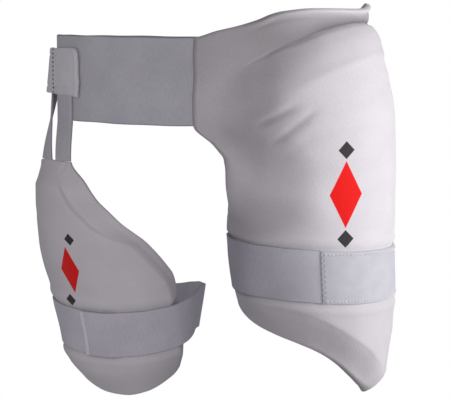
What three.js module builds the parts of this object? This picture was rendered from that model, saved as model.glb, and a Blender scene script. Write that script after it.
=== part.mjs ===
// A cricket thigh guard as worn: a large outer guard and a small inner guard on one waist belt.
// Millimetres. +Z is up, -Y is the front of the wearer, +X is the side of the large guard.
// The origin is the middle of the waist belt's loop.
import * as THREE from 'three';

// The waist that the belt goes round
const waistWidth = 312;
const waistDepth = 224;

// The thigh under the large guard
const outerThighWidth = 151;
const outerThighDepth = 156;
const outerThighCentre = 95.5;

// The thigh under the small guard
const innerThighWidth = 160;
const innerThighDepth = 176;
const innerThighCentre = -80;

// The large guard
const outerTopHeight = 70;
const outerTipDrop = 336;
const outerRim = 5;
const outerFoam = 17;
const flangeHeight = 14.5;
const bevelHeight = 32;
const lipHeight = 44;
const innerSideRamp = 44;
const rearBorder = 42;
const rearRamp = 20;

// The small guard
const innerTopDrop = 82;
const innerTipDrop = 322;
const innerRim = 4;
const innerFoam = 12;
const innerTopBevel = 20;
const innerEdgeBevel = 19;
const innerToeBevel = 30;
const innerRearBevel = 22;

// The belt
const beltHeight = 85;
const beltFrontDip = 1.5;
const beltThickness = 2.4;
const beltRearRise = 27;
const beltOverlap = 46;

// The leg straps
const outerStrapHeight = 53;
const outerStrapDrop = 195;
const outerStrapTilt = 5;
const innerStrapHeight = 47;
const innerStrapDrop = 256;
const innerStrapTilt = 6;
const innerStrapBow = 10;
const innerStrapLean = 2.3;
const strapThickness = 2.2;
const hookEndThickness = 3;
const hookEndReach = 15;
const strapSewnLength = 18;

// The two tabs and the two straps that the small guard hangs on
const tabHeight = 47;
const tabTopHeight = 31;
const tabThickness = 3.3;
const sideTabStandoff = 1;
const sideTabFlare = 16;
const hangerThickness = 2;
const rearHangerLift = 5;

// The gaps between pieces that are sewn or pressed together, and at the wing's wavy seam
const seamGap = 0.35;
const wingSeamGap = 0.95;

// How finely a stretched band is evened out, and how far past a raised edge it still
// stands off the body, in degrees
const bandSpread = 3;
const outerStrapRelease = 9;
const innerStrapRelease = 42;

const degree = Math.PI / 180;
const wholeTurn = 360;

// Where things lie round a body, in degrees: 0 is the large guard's side, 90 the front,
// 180 the small guard's side and 270 the back.
const wingSeamTurn = 94.5;
const hookSeamTurn = 82.5;
const strapLapTurn = 126;
const anchorEndTurn = 108;
const tabStep = 6;
const frontTabTurns = { from: 143.8, to: 170 };
const sideTabTurns = { from: frontTabTurns.to + tabStep, to: 193 };
const frontHangerTurns = { top: [149.5, 166.5], foot: [128, 143.5] };
const rearHangerTurns = { top: [182, 192], foot: [146.5, 163] };

// How far the hip has gone over to the outer thigh: drop is a share of the large guard's
// drop, reach a share of the way out from the waist's side to the thigh's side, and centre
// how far out the thigh's middle has moved, as a share of its distance from the waist's.
const hipTable = [
  { drop: -0.29, reach: 0.22, centre: 1 },
  { drop: -0.067, reach: 0.26, centre: 1 },
  { drop: 0, reach: 0.48, centre: 1 },
  { drop: 0.087, reach: 0.83, centre: 1 },
  { drop: 0.207, reach: 1, centre: 1 },
  { drop: 0.328, reach: 1.03, centre: 1 },
  { drop: 0.434, reach: 1, centre: 1 },
  { drop: 0.5, reach: 0.98, centre: 1.01 },
  { drop: 0.665, reach: 0.93, centre: 1.04 },
  { drop: 0.762, reach: 0.8, centre: 1.06 },
  { drop: 0.84, reach: 0.64, centre: 1.075 },
  { drop: 0.9, reach: 0.56, centre: 1.085 },
  { drop: 1, reach: 0.43, centre: 1.095 },
];
const hipTurnsIn = { from: 0.12, to: 0.444 };

// The inner thigh's section: drop is a share of the small guard's drop, left, right and
// depth are shares of half the thigh's width and depth.
const innerThighTable = [
  { drop: 0.18, left: 1.18, right: 1.1, depth: 1 },
  { drop: 0.255, left: 1.16, right: 1.08, depth: 1 },
  { drop: 0.326, left: 1.085, right: 1.06, depth: 0.98 },
  { drop: 0.425, left: 1.075, right: 1.03, depth: 0.96 },
  { drop: 0.53, left: 1.045, right: 0.99, depth: 0.92 },
  { drop: 0.6, left: 0.99, right: 0.95, depth: 0.89 },
  { drop: 0.67, left: 0.91, right: 0.91, depth: 0.87 },
  { drop: 0.72, left: 0.875, right: 0.88, depth: 0.84 },
  { drop: 0.81, left: 0.79, right: 0.82, depth: 0.78 },
  { drop: 0.91, left: 0.7, right: 0.74, depth: 0.71 },
  { drop: 1.03, left: 0.51, right: 0.68, depth: 0.65 },
];

// The large guard's two side edges, as turns at shares of its length
const outerEdgeTable = [
  { down: 0, inner: wingSeamTurn, outer: -25 },
  { down: 0.16, inner: wingSeamTurn, outer: -34 },
  { down: 0.32, inner: wingSeamTurn - 0.5, outer: -42 },
  { down: 0.39, inner: 92, outer: -45 },
  { down: 0.43, inner: 93, outer: -46 },
  { down: 0.465, inner: 96.5, outer: -47 },
  { down: 0.52, inner: 106, outer: -48 },
  { down: 0.62, inner: 133, outer: -48 },
  { down: 0.67, inner: 153, outer: -48 },
  { down: 0.71, inner: 170, outer: -48 },
  { down: 0.76, inner: 175, outer: -48 },
  { down: 0.82, inner: 174, outer: -47 },
  { down: 0.9, inner: 170, outer: -44 },
  { down: 1, inner: 160, outer: -36 },
];

// Its top edge: rise is a share of the way from the belt's top up to the flange's top
const outerTopTable = [
  { across: 0, rise: 0.02 },
  { across: 0.063, rise: 0.25 },
  { across: 0.126, rise: 0.46 },
  { across: 0.184, rise: 0.68 },
  { across: 0.226, rise: 0.88 },
  { across: 0.264, rise: 0.94 },
  { across: 0.37, rise: 1 },
  { across: 0.6, rise: 1 },
  { across: 0.7, rise: 1.08 },
  { across: 0.78, rise: 1.22 },
  { across: 0.84, rise: 1.15 },
  { across: 0.9, rise: 1 },
  { across: 1, rise: 0.92 },
];

// Its bottom edge: drop is a share of the guard's drop
const outerFootTable = [
  { across: 0, drop: 0.655 },
  { across: 0.02, drop: 0.69 },
  { across: 0.056, drop: 0.711 },
  { across: 0.112, drop: 0.731 },
  { across: 0.198, drop: 0.754 },
  { across: 0.303, drop: 0.784 },
  { across: 0.381, drop: 0.812 },
  { across: 0.457, drop: 0.848 },
  { across: 0.543, drop: 0.9 },
  { across: 0.625, drop: 0.942 },
  { across: 0.697, drop: 0.966 },
  { across: 0.769, drop: 0.982 },
  { across: 0.865, drop: 1 },
  { across: 0.93, drop: 0.985 },
  { across: 1, drop: 0.935 },
];

// Where its foam rises: the thin flange above, the bevel under it and the thin lip at the
// foot, as shares of the flange's, the bevel's and the lip's own heights
const outerFoamTable = [
  { across: 0, flange: 5.6, bevel: 2.9, lip: 0.3 },
  { across: 0.1, flange: 3.4, bevel: 2.1, lip: 0.75 },
  { across: 0.153, flange: 2.6, bevel: 1.74, lip: 0.82 },
  { across: 0.195, flange: 2.45, bevel: 1.4, lip: 0.87 },
  { across: 0.244, flange: 2.3, bevel: 1.26, lip: 0.93 },
  { across: 0.304, flange: 2.05, bevel: 1.17, lip: 0.98 },
  { across: 0.383, flange: 1.58, bevel: 1.13, lip: 1 },
  { across: 0.484, flange: 1.17, bevel: 1.05, lip: 0.92 },
  { across: 0.572, flange: 1, bevel: 1, lip: 0.84 },
  { across: 0.63, flange: 1, bevel: 1, lip: 0.7 },
  { across: 0.7, flange: 1.2, bevel: 1, lip: 0.6 },
  { across: 0.78, flange: 1.45, bevel: 1, lip: 0.57 },
  { across: 1, flange: 1.6, bevel: 1, lip: 0.55 },
];

// The small guard's side edges, top edge and bottom edge
const innerEdgeTable = [
  { down: 0, inner: 130, outer: 174 },
  { down: 0.09, inner: 120.5, outer: 184 },
  { down: 0.18, inner: 111, outer: 188 },
  { down: 0.24, inner: 102, outer: 189 },
  { down: 0.3, inner: 93, outer: 190 },
  { down: 0.345, inner: 84.5, outer: 191 },
  { down: 0.38, inner: 78, outer: 191 },
  { down: 0.42, inner: 72.5, outer: 191 },
  { down: 0.505, inner: 62, outer: 191 },
  { down: 0.56, inner: 56, outer: 191 },
  { down: 0.62, inner: 53, outer: 191 },
  { down: 0.68, inner: 51.5, outer: 191 },
  { down: 0.91, inner: 39.5, outer: 191 },
  { down: 1, inner: 37.5, outer: 190 },
];
const innerTopTable = [
  { across: 0, drop: 1 },
  { across: 0.5, drop: 0.99 },
  { across: 0.85, drop: 1.01 },
  { across: 1, drop: 1.06 },
];
const innerFootTable = [
  { across: 0, drop: 0.885 },
  { across: 0.03, drop: 0.923 },
  { across: 0.127, drop: 0.957 },
  { across: 0.275, drop: 0.988 },
  { across: 0.42, drop: 1 },
  { across: 0.546, drop: 0.997 },
  { across: 0.711, drop: 0.98 },
  { across: 0.85, drop: 0.955 },
  { across: 1, drop: 0.9 },
];

// Where a guard's rows lie, as shares of its length: closer together where the foam rises
const outerRows = [0, 0.018, 0.036, 0.05, 0.066, 0.085, 0.107, 0.132, 0.16, 0.19, 0.22, 0.25,
  0.28, 0.31, 0.34, 0.37, 0.4, 0.43, 0.46, 0.49, 0.52, 0.555, 0.59, 0.63, 0.67, 0.71, 0.75,
  0.79, 0.83, 0.865, 0.895, 0.92, 0.945, 0.97, 1];
const innerRows = [0, 0.03, 0.06, 0.1, 0.14, 0.18, 0.22, 0.26, 0.3, 0.34, 0.38, 0.42, 0.46, 0.5,
  0.55, 0.6, 0.65, 0.7, 0.75, 0.8, 0.85, 0.89, 0.93, 0.97, 1];

const colours = {
  knit: 0xe6e4e6,
  elastic: 0xd2d3dc,
  hook: 0xdedfe6,
};

// Reads a column of a table at a place, on a smooth curve that never overshoots its rows.
function read(table, along, column, place) {
  const last = table.length - 1;
  if (place <= table[0][along]) return table[0][column];
  if (place >= table[last][along]) return table[last][column];
  let row = 0;
  while (place > table[row + 1][along]) row += 1;
  const slope = (k) => {
    const next = table[k + 1];
    return (next[column] - table[k][column]) / (next[along] - table[k][along]);
  };
  const tangent = (k) => {
    if (k === 0 || k === last) return 0;
    const before = slope(k - 1);
    const after = slope(k);
    return before * after <= 0 ? 0 : (2 * before * after) / (before + after);
  };
  const span = table[row + 1][along] - table[row][along];
  const t = (place - table[row][along]) / span;
  const start = table[row][column];
  const end = table[row + 1][column];
  const rise = t * t * (3 - 2 * t);
  const leave = t * (1 - t) * (1 - t) * span * tangent(row);
  const arrive = t * t * (t - 1) * span * tangent(row + 1);
  return start + (end - start) * rise + leave + arrive;
}

// Goes smoothly from 0 to 1 while value goes from low to high.
function ease(low, high, value) {
  const t = THREE.MathUtils.clamp((value - low) / (high - low), 0, 1);
  return t * t * (3 - 2 * t);
}

// Goes from 0 to 1 with a crease at low and a soft end at high.
function roundOver(low, high, value) {
  const t = THREE.MathUtils.clamp((value - low) / (high - low), 0, 1);
  return t * (2 - t);
}

function mix(a, b, share) {
  return a + (b - a) * share;
}

// The level section of the waist
function waistSection() {
  return { x: 0, halfWidth: waistWidth / 2, halfDepth: waistDepth / 2 };
}

// The level section of the hip and the outer thigh at a height: the waist's above, the
// thigh's own below, and one turned into the other between them.
function outerSection(height) {
  const share = -height / outerTipDrop;
  const turned = ease(hipTurnsIn.from, hipTurnsIn.to, share);
  const thighSide = outerThighCentre + outerThighWidth / 2;
  const reach = read(hipTable, 'drop', 'reach', share);
  const side = mix(waistWidth / 2, thighSide, reach);
  const x = outerThighCentre * turned * read(hipTable, 'drop', 'centre', share);
  const halfDepth = mix(waistDepth / 2, outerThighDepth / 2, turned);
  return { x, halfWidth: side - x, halfDepth };
}

// The level section of the inner thigh at a height
function innerSection(height) {
  const share = -height / innerTipDrop;
  const half = innerThighWidth / 2;
  const left = innerThighCentre - half * read(innerThighTable, 'drop', 'left', share);
  const right = innerThighCentre + half * read(innerThighTable, 'drop', 'right', share);
  const depth = read(innerThighTable, 'drop', 'depth', share);
  return {
    x: (left + right) / 2,
    halfWidth: (right - left) / 2,
    halfDepth: (innerThighDepth / 2) * depth,
  };
}

// A point at a turn and a height, off a section by a distance.
function onBody(sectionAt, turn, height, off) {
  const section = sectionAt(height);
  const angle = turn * degree;
  const x = section.x + (section.halfWidth + off) * Math.cos(angle);
  const y = -(section.halfDepth + off) * Math.sin(angle);
  return new THREE.Vector3(x, y, height);
}

// The mean radius of a section, which turns degrees into lengths.
function girthRadius(sectionAt, height) {
  const section = sectionAt(height);
  return (section.halfWidth + section.halfDepth) / 2;
}

const evenly = (count) => Array.from({ length: count + 1 }, (_, k) => k / count);

// A closed solid between two sheets of points, both given at shares across and down.
function solidBetween(acrossShares, downShares, insidePoint, outsidePoint) {
  const columns = acrossShares.length - 1;
  const rows = downShares.length - 1;
  const positions = [];
  const indices = [];
  const perSheet = (columns + 1) * (rows + 1);
  const at = (sheet, i, j) => sheet * perSheet + j * (columns + 1) + i;
  [insidePoint, outsidePoint].forEach((pointAt) => {
    downShares.forEach((down) => {
      acrossShares.forEach((across) => positions.push(...pointAt(across, down).toArray()));
    });
  });
  const quad = (a, b, c, d) => indices.push(a, b, c, a, c, d);
  for (let j = 0; j < rows; j += 1) {
    for (let i = 0; i < columns; i += 1) {
      quad(at(1, i, j), at(1, i, j + 1), at(1, i + 1, j + 1), at(1, i + 1, j));
      quad(at(0, i, j), at(0, i + 1, j), at(0, i + 1, j + 1), at(0, i, j + 1));
    }
  }
  for (let i = 0; i < columns; i += 1) {
    quad(at(0, i, 0), at(1, i, 0), at(1, i + 1, 0), at(0, i + 1, 0));
    quad(at(0, i + 1, rows), at(1, i + 1, rows), at(1, i, rows), at(0, i, rows));
  }
  for (let j = 0; j < rows; j += 1) {
    quad(at(0, 0, j + 1), at(1, 0, j + 1), at(1, 0, j), at(0, 0, j));
    quad(at(0, columns, j), at(1, columns, j), at(1, columns, j + 1), at(0, columns, j + 1));
  }
  const geometry = new THREE.BufferGeometry();
  geometry.setAttribute('position', new THREE.Float32BufferAttribute(positions, 3));
  geometry.setIndex(indices);
  geometry.computeVertexNormals();
  return geometry;
}

// The large guard: across goes from its inner edge to its rear edge, down from its top to
// its foot.
const outerGuard = {
  sectionAt: outerSection,
  edges: outerEdgeTable,
  top: (across) => {
    const rise = read(outerTopTable, 'across', 'rise', across);
    return mix(beltHeight / 2 - beltFrontDip, outerTopHeight, rise);
  },
  foot: (across) => -outerTipDrop * read(outerFootTable, 'across', 'drop', across),
  thickness: (across, fromTop, fromFoot, fromInner, fromOuter) => {
    const flange = flangeHeight * read(outerFoamTable, 'across', 'flange', across);
    const bevel = bevelHeight * read(outerFoamTable, 'across', 'bevel', across);
    const lip = lipHeight * read(outerFoamTable, 'across', 'lip', across);
    const below = roundOver(flange, flange + bevel, fromTop);
    const above = ease(0, lip, fromFoot);
    const beside = ease(0, innerSideRamp, fromInner);
    const before = ease(rearBorder, rearBorder + rearRamp, fromOuter);
    return outerRim + outerFoam * below * above * beside * before;
  },
};

// The small guard: across goes from its free curved edge to its outer edge.
const innerGuard = {
  sectionAt: innerSection,
  edges: innerEdgeTable,
  top: (across) => -innerTopDrop * read(innerTopTable, 'across', 'drop', across),
  foot: (across) => -innerTipDrop * read(innerFootTable, 'across', 'drop', across),
  thickness: (across, fromTop, fromFoot, fromInner, fromOuter) => {
    const below = ease(-innerTopBevel / 2, innerTopBevel, fromTop);
    const above = ease(-innerToeBevel / 4, innerToeBevel, fromFoot);
    const beside = ease(0, innerEdgeBevel, fromInner);
    const before = ease(0, innerRearBevel, fromOuter);
    return innerRim + innerFoam * below * above * beside * before;
  },
};

// A guard's turn, height and thickness at shares across and down.
function guardAt(guard, across, down) {
  const inner = read(guard.edges, 'down', 'inner', down);
  const outer = read(guard.edges, 'down', 'outer', down);
  const turn = mix(inner, outer, across);
  const top = guard.top(across);
  const foot = guard.foot(across);
  const height = mix(top, foot, down);
  const radius = girthRadius(guard.sectionAt, height);
  const fromInner = Math.abs(turn - inner) * degree * radius;
  const fromOuter = Math.abs(outer - turn) * degree * radius;
  const thickness = guard.thickness(across, top - height, height - foot, fromInner, fromOuter);
  return { turn, height, thickness };
}

// A guard's thickness under a turn and a height, and none past its edges.
function thicknessUnder(guard, turn, height) {
  let across = 0.5;
  let down = 0.5;
  for (let step = 0; step < 24; step += 1) {
    const top = guard.top(across);
    const foot = guard.foot(across);
    down = THREE.MathUtils.clamp((top - height) / (top - foot), 0, 1);
    const inner = read(guard.edges, 'down', 'inner', down);
    const outer = read(guard.edges, 'down', 'outer', down);
    across = (turn - inner) / (outer - inner);
  }
  if (across < 0 || across > 1) return 0;
  return guardAt(guard, across, down).thickness;
}

function guardGeometry(guard, columns, downShares) {
  const pointAt = (across, down, isOutside) => {
    const place = guardAt(guard, across, down);
    const off = isOutside ? place.thickness : 0;
    return onBody(guard.sectionAt, place.turn, place.height, off);
  };
  const inside = (across, down) => pointAt(across, down, false);
  const outside = (across, down) => pointAt(across, down, true);
  const leftward = guard.edges[0].inner < guard.edges[0].outer;
  const flip = (pointOf) => (leftward ? (across, down) => pointOf(1 - across, down) : pointOf);
  return solidBetween(evenly(columns), downShares, flip(inside), flip(outside));
}

// A band round a body: it goes from one turn to a lower one, keeps its height across, and
// lies off the body by what offAt says.
function bandGeometry({ sectionAt, from, to, middleAt, height, thickness, offAt }, columns, rows) {
  const pointAt = (along, down, extra) => {
    const turn = mix(from, to, along);
    const level = middleAt(turn) + height * (0.5 - down);
    return onBody(sectionAt, turn, level, offAt(turn, along, down) + extra);
  };
  const inside = (along, down) => pointAt(along, down, 0);
  const outside = (along, down) => pointAt(along, down, thickness);
  return solidBetween(evenly(columns), evenly(rows), inside, outside);
}

// How far a stretched band lies off the body that it goes round, where it crosses a guard:
// the most that the guard stands out anywhere near, evened out along the band.
function stretchedOver(guard, bodyAt, middleAt, height, release) {
  const shares = [-1, -0.5, 0, 0.5, 1];
  const known = new Map();
  const standsOut = (turn, level) => {
    const thickness = thicknessUnder(guard, turn, level);
    if (thickness === 0) return 0;
    return thickness + guard.sectionAt(level).halfWidth - bodyAt(level).halfWidth;
  };
  const acrossBand = (turn) => {
    const levels = shares.map((side) => middleAt(turn) + (height * side) / 2);
    return Math.max(...levels.map((level) => standsOut(turn, level)));
  };
  const highest = (turn) => {
    let most = 0;
    for (let near = -release; near <= release; near += bandSpread) {
      const held = (release - Math.abs(near)) / (release - 2 * bandSpread);
      most = Math.max(most, acrossBand(turn + near) * Math.min(1, held));
    }
    return most;
  };
  return (turn) => {
    if (!known.has(turn)) {
      const total = shares.reduce((sum, near) => sum + highest(turn + near * bandSpread), 0);
      known.set(turn, seamGap + total / shares.length);
    }
    return known.get(turn);
  };
}

const outerStrapMiddle = (turn) => -outerStrapDrop - outerStrapTilt * Math.cos(turn * degree);
const innerStrapMiddle = (turn) => {
  const aside = Math.cos(turn * degree);
  const lean = innerStrapLean * Math.sin(turn * degree);
  return -innerStrapDrop + innerStrapTilt * aside + innerStrapBow * aside * aside + lean;
};
const nearGuard = (turn) => (turn > 270 ? turn - wholeTurn : turn);
const overOuter = stretchedOver(
  outerGuard, outerSection, outerStrapMiddle, outerStrapHeight, outerStrapRelease,
);
const overInner = stretchedOver(
  innerGuard, innerSection, innerStrapMiddle, innerStrapHeight, innerStrapRelease,
);

// The waist belt runs from the wing's seam round the far hip and the back, rising as it
// goes, and its end is pressed to the inside of the guard's rear border.
const beltRadius = girthRadius(waistSection, 0);
const guardRearTurn = wholeTurn + outerEdgeTable[0].outer;
const beltMiddle = (turn) => {
  const dip = beltFrontDip * Math.max(0, Math.sin(turn * degree));
  return beltRearRise * ease(275, guardRearTurn, turn) - dip;
};
const waistBelt = {
  sectionAt: waistSection,
  from: guardRearTurn + beltOverlap / beltRadius / degree,
  to: wingSeamTurn + wingSeamGap / (waistWidth / 2) / degree,
  middleAt: beltMiddle,
  height: beltHeight,
  thickness: beltThickness,
  offAt: (turn) => -(beltThickness + seamGap) * ease(guardRearTurn - 45, guardRearTurn - 18, turn),
};

// The large guard's strap is sewn to the rear border, goes round the back and the inner
// side, and crosses the front to the seam of its hook-and-loop end.
const outerStrapSewn = strapSewnLength / girthRadius(outerSection, -outerStrapDrop) / degree;
const outerStrapStart = wholeTurn + outerEdgeTable.at(-1).outer + outerStrapSewn;
const outerLegStrap = {
  sectionAt: outerSection,
  from: outerStrapStart,
  to: hookSeamTurn + seamGap / (outerThighWidth / 2) / degree,
  middleAt: outerStrapMiddle,
  height: outerStrapHeight,
  thickness: strapThickness,
  offAt: (turn) => overOuter(nearGuard(turn)),
};
const outerStrapHookEnd = {
  sectionAt: outerSection,
  from: hookSeamTurn,
  to: -hookEndReach / (outerThighWidth / 2) / degree,
  middleAt: outerStrapMiddle,
  height: outerStrapHeight,
  thickness: hookEndThickness,
  offAt: (turn) => overOuter(turn),
};

// The small guard's strap: a short anchor sewn to the guard's outer edge, and the rest,
// which goes round the thigh and laps over the anchor.
const anchorStart = innerEdgeTable.at(-1).outer + 4;
const innerStrapAnchor = {
  sectionAt: innerSection,
  from: anchorStart,
  to: anchorEndTurn,
  middleAt: innerStrapMiddle,
  height: innerStrapHeight,
  thickness: strapThickness,
  offAt: (turn) => overInner(turn),
};
const lapLift = strapThickness + seamGap;
const innerLegStrap = {
  sectionAt: innerSection,
  from: strapLapTurn,
  to: anchorStart - wholeTurn + seamGap / (innerThighWidth / 2) / degree,
  middleAt: innerStrapMiddle,
  height: innerStrapHeight,
  thickness: strapThickness,
  offAt: (turn) => {
    const lapped = ease(anchorEndTurn - 12, anchorEndTurn - 2, turn);
    const around = turn < -90 ? turn + wholeTurn : turn;
    return overInner(around) + lapLift * lapped;
  },
};

// The two tabs on the belt. The side one flares out towards its rear and its foot.
const onBelt = beltThickness + seamGap;
const tabMiddle = tabTopHeight - tabHeight / 2;
const hangerTabFront = {
  sectionAt: waistSection,
  from: frontTabTurns.to,
  to: frontTabTurns.from,
  middleAt: () => tabMiddle,
  height: tabHeight,
  thickness: tabThickness,
  offAt: () => onBelt,
};
const hangerTabSide = {
  sectionAt: waistSection,
  from: sideTabTurns.to,
  to: sideTabTurns.from,
  middleAt: () => tabMiddle,
  height: tabHeight,
  thickness: tabThickness,
  offAt: (turn, along, down) => {
    const flare = (1 - along) * mix(0.6, 1, down);
    return onBelt + sideTabStandoff + sideTabFlare * flare;
  },
};

// How far above the small guard's level top the foot of a hanging strap ends
const footGap = innerTopDrop * 0.01 + seamGap;

// A strap that the small guard hangs on: from under its tab down to where it leaves the
// belt, then across to the guard's top edge.
function hangerGeometry({ top, foot }, lift, leavesAt, columns, rows) {
  const tabFoot = tabTopHeight - tabHeight - seamGap;
  const leaves = (leavesAt - tabFoot) / (-innerTopDrop - tabFoot);
  const footOff = (innerRim - hangerThickness) / 2;
  const pointAt = (along, down, extra) => {
    const topTurn = mix(top[1], top[0], along);
    const footTurn = mix(foot[1], foot[0], along);
    const edge = -innerTopDrop + footGap;
    const height = mix(tabFoot, edge, down);
    const share = Math.max(0, (down - leaves) / (1 - leaves));
    const onWaist = onBody(waistSection, topTurn, height, onBelt + lift + extra);
    const onThigh = onBody(innerSection, footTurn, height, footOff + extra);
    return onWaist.lerp(onThigh, share);
  };
  const inside = (along, down) => pointAt(along, down, 0);
  const outside = (along, down) => pointAt(along, down, hangerThickness);
  return solidBetween(evenly(columns), evenly(rows), inside, outside);
}

const model = new THREE.Group();

function addPiece(name, geometry, colour, roughness) {
  const material = new THREE.MeshStandardMaterial({ color: colour, roughness, metalness: 0 });
  const mesh = new THREE.Mesh(geometry, material);
  mesh.name = name;
  model.add(mesh);
}

addPiece('outer_pad', guardGeometry(outerGuard, 30, outerRows), colours.knit, 0.9);
addPiece('inner_pad', guardGeometry(innerGuard, 22, innerRows), colours.knit, 0.9);
addPiece('waist_belt', bandGeometry(waistBelt, 64, 2), colours.elastic, 0.85);
addPiece('outer_leg_strap', bandGeometry(outerLegStrap, 56, 3), colours.elastic, 0.85);
addPiece('outer_strap_hook_end', bandGeometry(outerStrapHookEnd, 22, 3), colours.hook, 0.85);
addPiece('inner_strap_anchor', bandGeometry(innerStrapAnchor, 20, 3), colours.elastic, 0.85);
addPiece('inner_leg_strap', bandGeometry(innerLegStrap, 60, 3), colours.elastic, 0.85);
addPiece('hanger_tab_front', bandGeometry(hangerTabFront, 12, 3), colours.hook, 0.85);
addPiece('hanger_tab_side', bandGeometry(hangerTabSide, 10, 4), colours.hook, 0.85);
const beltFoot = -beltHeight / 2;
const sideTabFoot = tabTopHeight - tabHeight;
const frontHanger = hangerGeometry(frontHangerTurns, 0, beltFoot, 5, 10);
const rearHanger = hangerGeometry(rearHangerTurns, rearHangerLift, sideTabFoot, 5, 10);
addPiece('hanger_strap_front', frontHanger, colours.elastic, 0.85);
addPiece('hanger_strap_rear', rearHanger, colours.elastic, 0.85);

export default model;
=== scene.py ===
"""A cricket thigh guard as worn: two padded guards on one elastic belt, each with a leg strap.

Sizes are in millimetres and turn to metres when a mesh is made. Turns are in degrees round a
body: 0 is the large guard's side, 90 the front, 180 the small guard's side and 270 the back.
"""

from __future__ import annotations

import logging
import math
from dataclasses import dataclass
from enum import Enum
from typing import Callable, Protocol

import bmesh
import bpy
import numpy as np
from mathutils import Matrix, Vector

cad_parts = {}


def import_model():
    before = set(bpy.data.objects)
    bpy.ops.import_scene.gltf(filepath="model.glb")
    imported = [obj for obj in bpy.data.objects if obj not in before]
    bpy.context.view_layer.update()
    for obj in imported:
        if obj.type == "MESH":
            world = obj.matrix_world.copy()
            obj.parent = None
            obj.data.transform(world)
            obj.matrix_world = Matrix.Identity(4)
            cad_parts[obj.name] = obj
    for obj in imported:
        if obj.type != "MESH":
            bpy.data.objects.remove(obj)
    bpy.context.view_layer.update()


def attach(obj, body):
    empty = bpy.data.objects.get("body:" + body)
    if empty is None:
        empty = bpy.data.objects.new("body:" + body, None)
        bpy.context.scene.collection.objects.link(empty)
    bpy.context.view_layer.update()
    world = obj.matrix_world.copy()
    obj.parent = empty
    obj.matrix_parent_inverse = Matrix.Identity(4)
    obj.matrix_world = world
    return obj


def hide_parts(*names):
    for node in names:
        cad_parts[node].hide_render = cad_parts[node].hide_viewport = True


log = logging.getLogger("thigh_guard")

MM = 0.001
BODY = "root"
SEAM_GAP = 0.3
BELT_GAP = 0.35
WEAVE = "weave"
# The point mark that carries how much painted shade darkens the knit.
PAINTED_SHADE_KEY = "greyed"
OUTER_SIDE = "outer_side"

Numbers = np.ndarray
Surface = Callable[[Numbers, Numbers], Numbers]
Colour = tuple[float, float, float, float]
Pair = tuple[float, float]
Fold = tuple[float, float, float, float, float, float]


# Shapes and curves


def eased(low: float, high: float, value: Numbers) -> Numbers:
    """Goes smoothly from 0 to 1 while value goes from low to high."""
    t = np.clip((value - low) / (high - low), 0.0, 1.0)
    return t * t * (3.0 - 2.0 * t)


def hump(middle: float, spread: Numbers | float, value: Numbers) -> Numbers:
    """A smooth hump of height 1 at middle."""
    return np.exp(-(((value - middle) / spread) ** 2))


def rounded(distance: Numbers, radius: float) -> Numbers:
    """A round edge's profile, which goes from 0 at the edge to 1 at radius."""
    left = 1.0 - np.clip(distance / radius, 0.0, 1.0)
    return np.sqrt(1.0 - left * left)


def pulled(folds: tuple[Fold, ...], x: Numbers, height: Numbers) -> Numbers:
    """How deep the pulled folds lie at each place.

    Args:
        folds: each one's first x and height, last x and height, width and depth.
        x: the places' x.
        height: their heights.

    Returns:
        Millimetres, more than 0 in a fold's valley.
    """
    depth_there = 0.0 * x
    for x0, z0, x1, z1, width, depth in folds:
        long = math.hypot(x1 - x0, z1 - z0)
        ahead = ((x - x0) * (x1 - x0) + (height - z0) * (z1 - z0)) / long
        aside = ((x - x0) * (z1 - z0) - (height - z0) * (x1 - x0)) / long
        ends = eased(-8.0, 10.0, ahead) * eased(-8.0, 12.0, long - ahead)
        valley = hump(0.0, width, aside) - 0.3 * hump(-width * 1.9, width * 1.3, aside)
        depth_there = depth_there + depth * ends * valley
    return depth_there


def graded(count: int, crowd: float) -> Numbers:
    """Shares from 0 to 1 that crowd together at both ends.

    Args:
        count: how many spaces there are.
        crowd: 0 for even spaces, near 1 for crowded ends.

    Returns:
        count + 1 shares.
    """
    s = np.linspace(0.0, 1.0, count + 1)
    return s - crowd * np.sin(2.0 * math.pi * s) / (2.0 * math.pi)


@dataclass(frozen=True)
class Curve:
    """A smooth curve through (place, value) rows, which never overshoots them."""

    rows: tuple[Pair, ...]

    def at(self, place: Numbers | float) -> Numbers:
        """Reads the curve.

        Args:
            place: where to read it; past the ends it stays level.

        Returns:
            The curve's value at each place.
        """
        x, y = np.array(self.rows, float).T
        slope = np.diff(y) / np.diff(x)
        before, after = slope[:-1], slope[1:]
        same = before * after > 0.0
        total = np.where(same, before + after, 1.0)
        tangent = np.zeros(len(x))
        tangent[1:-1] = np.where(same, 2.0 * before * after / total, 0.0)
        p = np.clip(np.asarray(place, float), x[0], x[-1])
        k = np.clip(np.searchsorted(x, p, side="right") - 1, 0, len(x) - 2)
        span = x[k + 1] - x[k]
        t = (p - x[k]) / span
        rise = t * t * (3.0 - 2.0 * t)
        leave = t * (1.0 - t) ** 2 * span * tangent[k]
        arrive = t * t * (t - 1.0) * span * tangent[k + 1]
        return y[k] + (y[k + 1] - y[k]) * rise + leave + arrive


class Body(Protocol):
    """A part of the wearer's body, as level ellipses."""

    def section(self, height: Numbers) -> tuple[Numbers, Numbers, Numbers]:
        """The middle's x, half the width and half the depth at each height."""
        ...


def on_body(body: Body, turn: Numbers, height: Numbers, off: Numbers) -> Numbers:
    """Points at a turn and a height, off a body by a distance.

    Args:
        body: the body that the points lie on.
        turn: degrees round it.
        height: millimetres above the origin.
        off: millimetres off it.

    Returns:
        An array with x, y and z last.
    """
    turn, height, off = np.broadcast_arrays(turn, height, off)
    middle, half_width, half_depth = body.section(height)
    angle = np.radians(turn)
    x = middle + (half_width + off) * np.cos(angle)
    y = -(half_depth + off) * np.sin(angle)
    return np.stack([x, y, height + 0.0 * x], axis=-1)


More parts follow.
